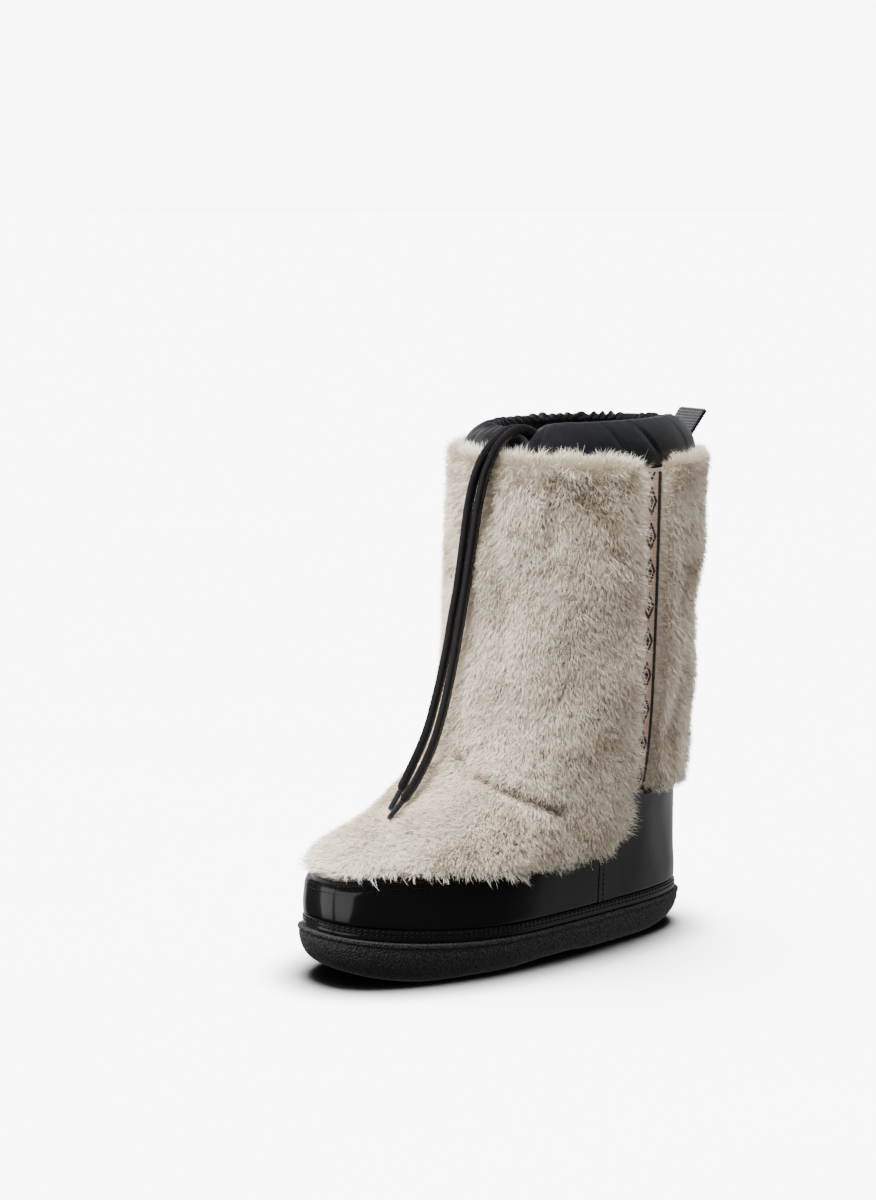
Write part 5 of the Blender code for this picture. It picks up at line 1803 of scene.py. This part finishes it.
for name, route, tip in (("inner", INNER_CORD_ROUTE, INNER_TIP), ("outer", OUTER_CORD_ROUTE, OUTER_TIP)):
    path = curve_through(route, CORD_RING_STEP)
    run = run_length(path)
    turn = np.linspace(0, 2 * np.pi, CORD_SIDES, endpoint=False)
    twist = 2 * np.pi * run[:, None] / CORD_PLAIT_RUN / 2
    plait = np.sin(CORD_PLAITS / 2 * turn + twist) * np.sin(CORD_PLAITS / 2 * turn - twist)
    ends = 1 - CORD_END_LOSS * ease((run - run[-1] + CORD_END_RUN) / CORD_END_RUN)
    radius = CORD_DIAMETER / 2 * (1 - CORD_RELIEF + 2 * CORD_RELIEF * np.abs(plait)) * ends[:, None]
    rings = tube_rings(path, radius)
    strand_piece = add_piece(
        "cord_strand_" + name,
        rings.reshape(-1, 3),
        capped_faces(len(rings), CORD_SIDES),
        braid,
        crease=80.0,
    )
    start = path[-1]
    way = unit(np.subtract(tip, start))
    sleeve_rows = profile(AGLET_ROWS, 54)
    sleeve_path = start + 2 * GAP * way + way * (sleeve_rows[:, :1] * AGLET_LENGTH)
    sleeve_rings = tube_rings(sleeve_path, np.repeat(sleeve_rows[:, 1:], CORD_SIDES, axis=1))
    sleeve = add_piece(
        "cord_sleeve_" + name,
        sleeve_rings.reshape(-1, 3),
        capped_faces(len(sleeve_rings), CORD_SIDES),
        acetate,
    )
    enter(strand_piece, "cord_braid", "drawcord_" + name)
    enter(sleeve, "aglet_plastic", "aglet_" + name)

# Studio
# A plain white sweep with a large soft light high on the front left, weaker ones from the front, the left
# and the rear, and one over the floor, seen by a long lens from the outer front of the boot.

FLOOR_HALF = 40.0
FLOOR_GAIN = 2.0
# Shade where the boot meets the floor: reach, openness from dark to bright, power, least brightness
CONTACT_REACH = 0.045
CONTACT_OPEN = (0.25, 0.95)
CONTACT_POWER = 2.4
CONTACT_LEAST = 0.02
# Studio paper: white and matt, with the faint mottle of its fibres, exposed to clear white, and with a
# painted contact shadow close to the boot
paper = new_finish("studio_paper")
place = add_node(paper, "TexCoord", {}).outputs["Object"]
mottle = add_node(paper, "TexNoise", {"Vector": place, "Scale": 1 / 0.25, "Detail": 2.0})
paper_colour = add_node(
    paper,
    "Mix",
    {"Factor": mottle.outputs["Fac"], 6: linear("FAFAFA"), 7: linear("FEFEFE")},
    data_type="RGBA",
)
# Painted contact shadow: ambient occlusion darkens the paper near the boot
nook = add_node(paper, "AmbientOcclusion", {"Distance": CONTACT_REACH})
shut, clear = CONTACT_OPEN
contact_shadow_gain = add_node(paper, "MapRange", {"Value": nook.outputs["AO"], "From Min": shut, "From Max": clear})
contact_shadow_gain = add_node(paper, "Math", {0: contact_shadow_gain, 1: CONTACT_POWER}, operation="POWER")
contact_shadow_gain = add_node(
    paper, "MapRange", {"Value": contact_shadow_gain, "To Min": CONTACT_LEAST * FLOOR_GAIN, "To Max": FLOOR_GAIN}
)
exposed = add_node(paper, "VectorMath", {0: paper_colour, "Scale": contact_shadow_gain}, operation="SCALE")
shader = add_node(paper, "BsdfDiffuse", {"Color": exposed.outputs["Vector"]})
add_node(paper, "OutputMaterial", {"Surface": shader})
floor_corners = [(x, y, 0.0) for x, y in ((-1, -1), (1, -1), (1, 1), (-1, 1))]
floor = add_piece("studio_floor", FLOOR_HALF * np.array(floor_corners), [[0, 1, 2, 3]], paper)
floor.visible_glossy = False
floor.visible_diffuse = False
floor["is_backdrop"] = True

# Air of the studio: clear white behind the boot, an even fill, and for the gloss a dark room with soft
# grey windows. Windows: azimuth from and to, elevation from and to, soft edge, brightness, and how far the
# last edge leans to the side for each degree up
WINDOWS = (
    (-48.0, -12.0, -20.0, 20.0, 3.0, 1.1, 0.2),
    (-8.0, 36.0, -22.0, 18.0, 3.0, 1.0, 0.6),
    (136.0, 176.0, -50.0, 30.0, 12.0, 0.22, 0.0),
    (172.0, 255.0, -50.0, 30.0, 40.0, 0.50, 0.0),
    (-116.0, -84.0, -30.0, 40.0, 10.0, 0.8, 0.0),
)
ROOM_DARK = 0.06
# The low edge of a window is softer than the others by this factor
LOW_EDGE_SOFT = 6
# Azimuth opposite which the count of azimuths jumps from end to start
AZIMUTH_MIDDLE = math.radians(60)
SEEN_STRENGTH = 8.0
FILL_STRENGTH = 0.26
world = bpy.data.worlds.new("studio_air")
world.use_nodes = True
world.node_tree.nodes.clear()
ray = add_node(world, "LightPath", {})
way = add_node(world, "SeparateXYZ", {"Vector": add_node(world, "TexCoord", {}).outputs["Generated"]})
toe_way = add_node(world, "Math", {0: way.outputs["Y"], 1: -1.0}, operation="MULTIPLY")
azimuth = add_node(world, "Math", {0: way.outputs["X"], 1: toe_way}, operation="ARCTAN2")
azimuth = add_node(world, "Math", {0: azimuth, 1: AZIMUTH_MIDDLE}, operation="SUBTRACT")
azimuth = add_node(world, "Math", {0: azimuth, 1: math.pi, 2: -math.pi}, operation="WRAP")
azimuth = add_node(world, "Math", {0: azimuth, 1: AZIMUTH_MIDDLE}, operation="ADD")
elevation = add_node(world, "Math", {0: way.outputs["Z"]}, operation="ARCSINE")
gloss = ROOM_DARK
for first, last, low, high, soft, bright, lean in WINDOWS:
    window = bright
    leaning = add_node(world, "Math", {0: elevation, 1: -lean, 2: azimuth}, operation="MULTIPLY_ADD")
    for angle, start, step in (
        (azimuth, first, soft),
        (leaning, last, -soft),
        (elevation, low, LOW_EDGE_SOFT * soft),
        (elevation, high, -soft),
    ):
        fade = add_node(
            world,
            "MapRange",
            {
                "Value": angle,
                "From Min": math.radians(start - step / 2),
                "From Max": math.radians(start + step / 2),
            },
            interpolation_type="SMOOTHSTEP",
        )
        window = add_node(world, "Math", {0: window, 1: fade}, operation="MULTIPLY")
    gloss = add_node(world, "Math", {0: gloss, 1: window}, operation="ADD")
seen = add_node(world, "Background", {"Color": linear("FFFFFF"), "Strength": SEEN_STRENGTH})
fill = add_node(world, "Background", {"Color": linear("FFFFFF"), "Strength": FILL_STRENGTH})
mirrored = add_node(world, "Background", {"Color": linear("FFFFFF"), "Strength": gloss})
lit = add_node(world, "MixShader", {0: ray.outputs["Is Glossy Ray"], 1: fill, 2: mirrored})
air = add_node(world, "MixShader", {0: ray.outputs["Is Camera Ray"], 1: lit, 2: seen})
add_node(world, "OutputWorld", {"Surface": air})
bpy.context.scene.world = world

floor_only = bpy.data.collections.new("lit_floor")
floor_only.objects.link(floor)
off_floor = bpy.data.collections.new("lit_boot")
off_floor.objects.link(floor)
off_floor.collection_objects[0].light_linking.link_state = "EXCLUDE"
# Soft lights: name, azimuth and elevation seen from the boot, width as an angle, strength, what it lights
SOFT_LIGHTS = (
    ("key_softbox", -18.0, 67.0, 40.0, 13.0, off_floor),
    ("front_softbox", 50.0, 62.0, 40.0, 1.8, off_floor),
    ("left_strip", -88.0, 14.0, 24.0, 12.0, off_floor),
    ("rear_softbox", 170.0, 30.0, 40.0, 2.8, off_floor),
    ("floor_softbox", 232.0, 82.0, 40.0, 14.0, floor_only),
)
for name, turn, tilt, spread, strength, lit_group in SOFT_LIGHTS:
    lamp = bpy.data.lights.new(name, "SUN")
    lamp.angle = math.radians(spread)
    lamp.energy = strength
    turn, tilt = math.radians(turn), math.radians(tilt)
    toward = Vector((math.sin(turn) * math.cos(tilt), -math.cos(turn) * math.cos(tilt), math.sin(tilt)))
    holder = bpy.data.objects.new(name, lamp)
    holder.location = 2 * toward
    holder.rotation_euler = (-toward).to_track_quat("-Z", "Y").to_euler()
    holder.visible_glossy = False
    holder.light_linking.receiver_collection = lit_group
    bpy.context.scene.collection.objects.link(holder)

# The lens was fitted to the sole's outline: azimuth, distance and height of the eye, dip of the view
VIEW_AZIMUTH = math.radians(52.4)
VIEW_DISTANCE = 1.800
VIEW_HEIGHT = 0.4907
VIEW_DIP = math.radians(8.3)
SENSOR = 36.0
LENS = 85.44
SHIFT_ACROSS = -0.0497
camera_data = bpy.data.cameras.new("product_camera")
camera_data.sensor_fit = "AUTO"
camera_data.sensor_width = SENSOR
camera_data.lens = LENS
camera_data.shift_x = SHIFT_ACROSS
camera = bpy.data.objects.new("product_camera", camera_data)
back = Vector((math.sin(VIEW_AZIMUTH), -math.cos(VIEW_AZIMUTH), 0.0))
camera.location = back * VIEW_DISTANCE + Vector((0, 0, VIEW_HEIGHT)) + Vector(boot_place)
sight = -back * math.cos(VIEW_DIP) - Vector((0, 0, math.sin(VIEW_DIP)))
camera.rotation_euler = sight.to_track_quat("-Z", "Y").to_euler()
bpy.context.scene.collection.objects.link(camera)
bpy.context.scene.camera = camera

bpy.context.view_layer.update()
low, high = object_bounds()
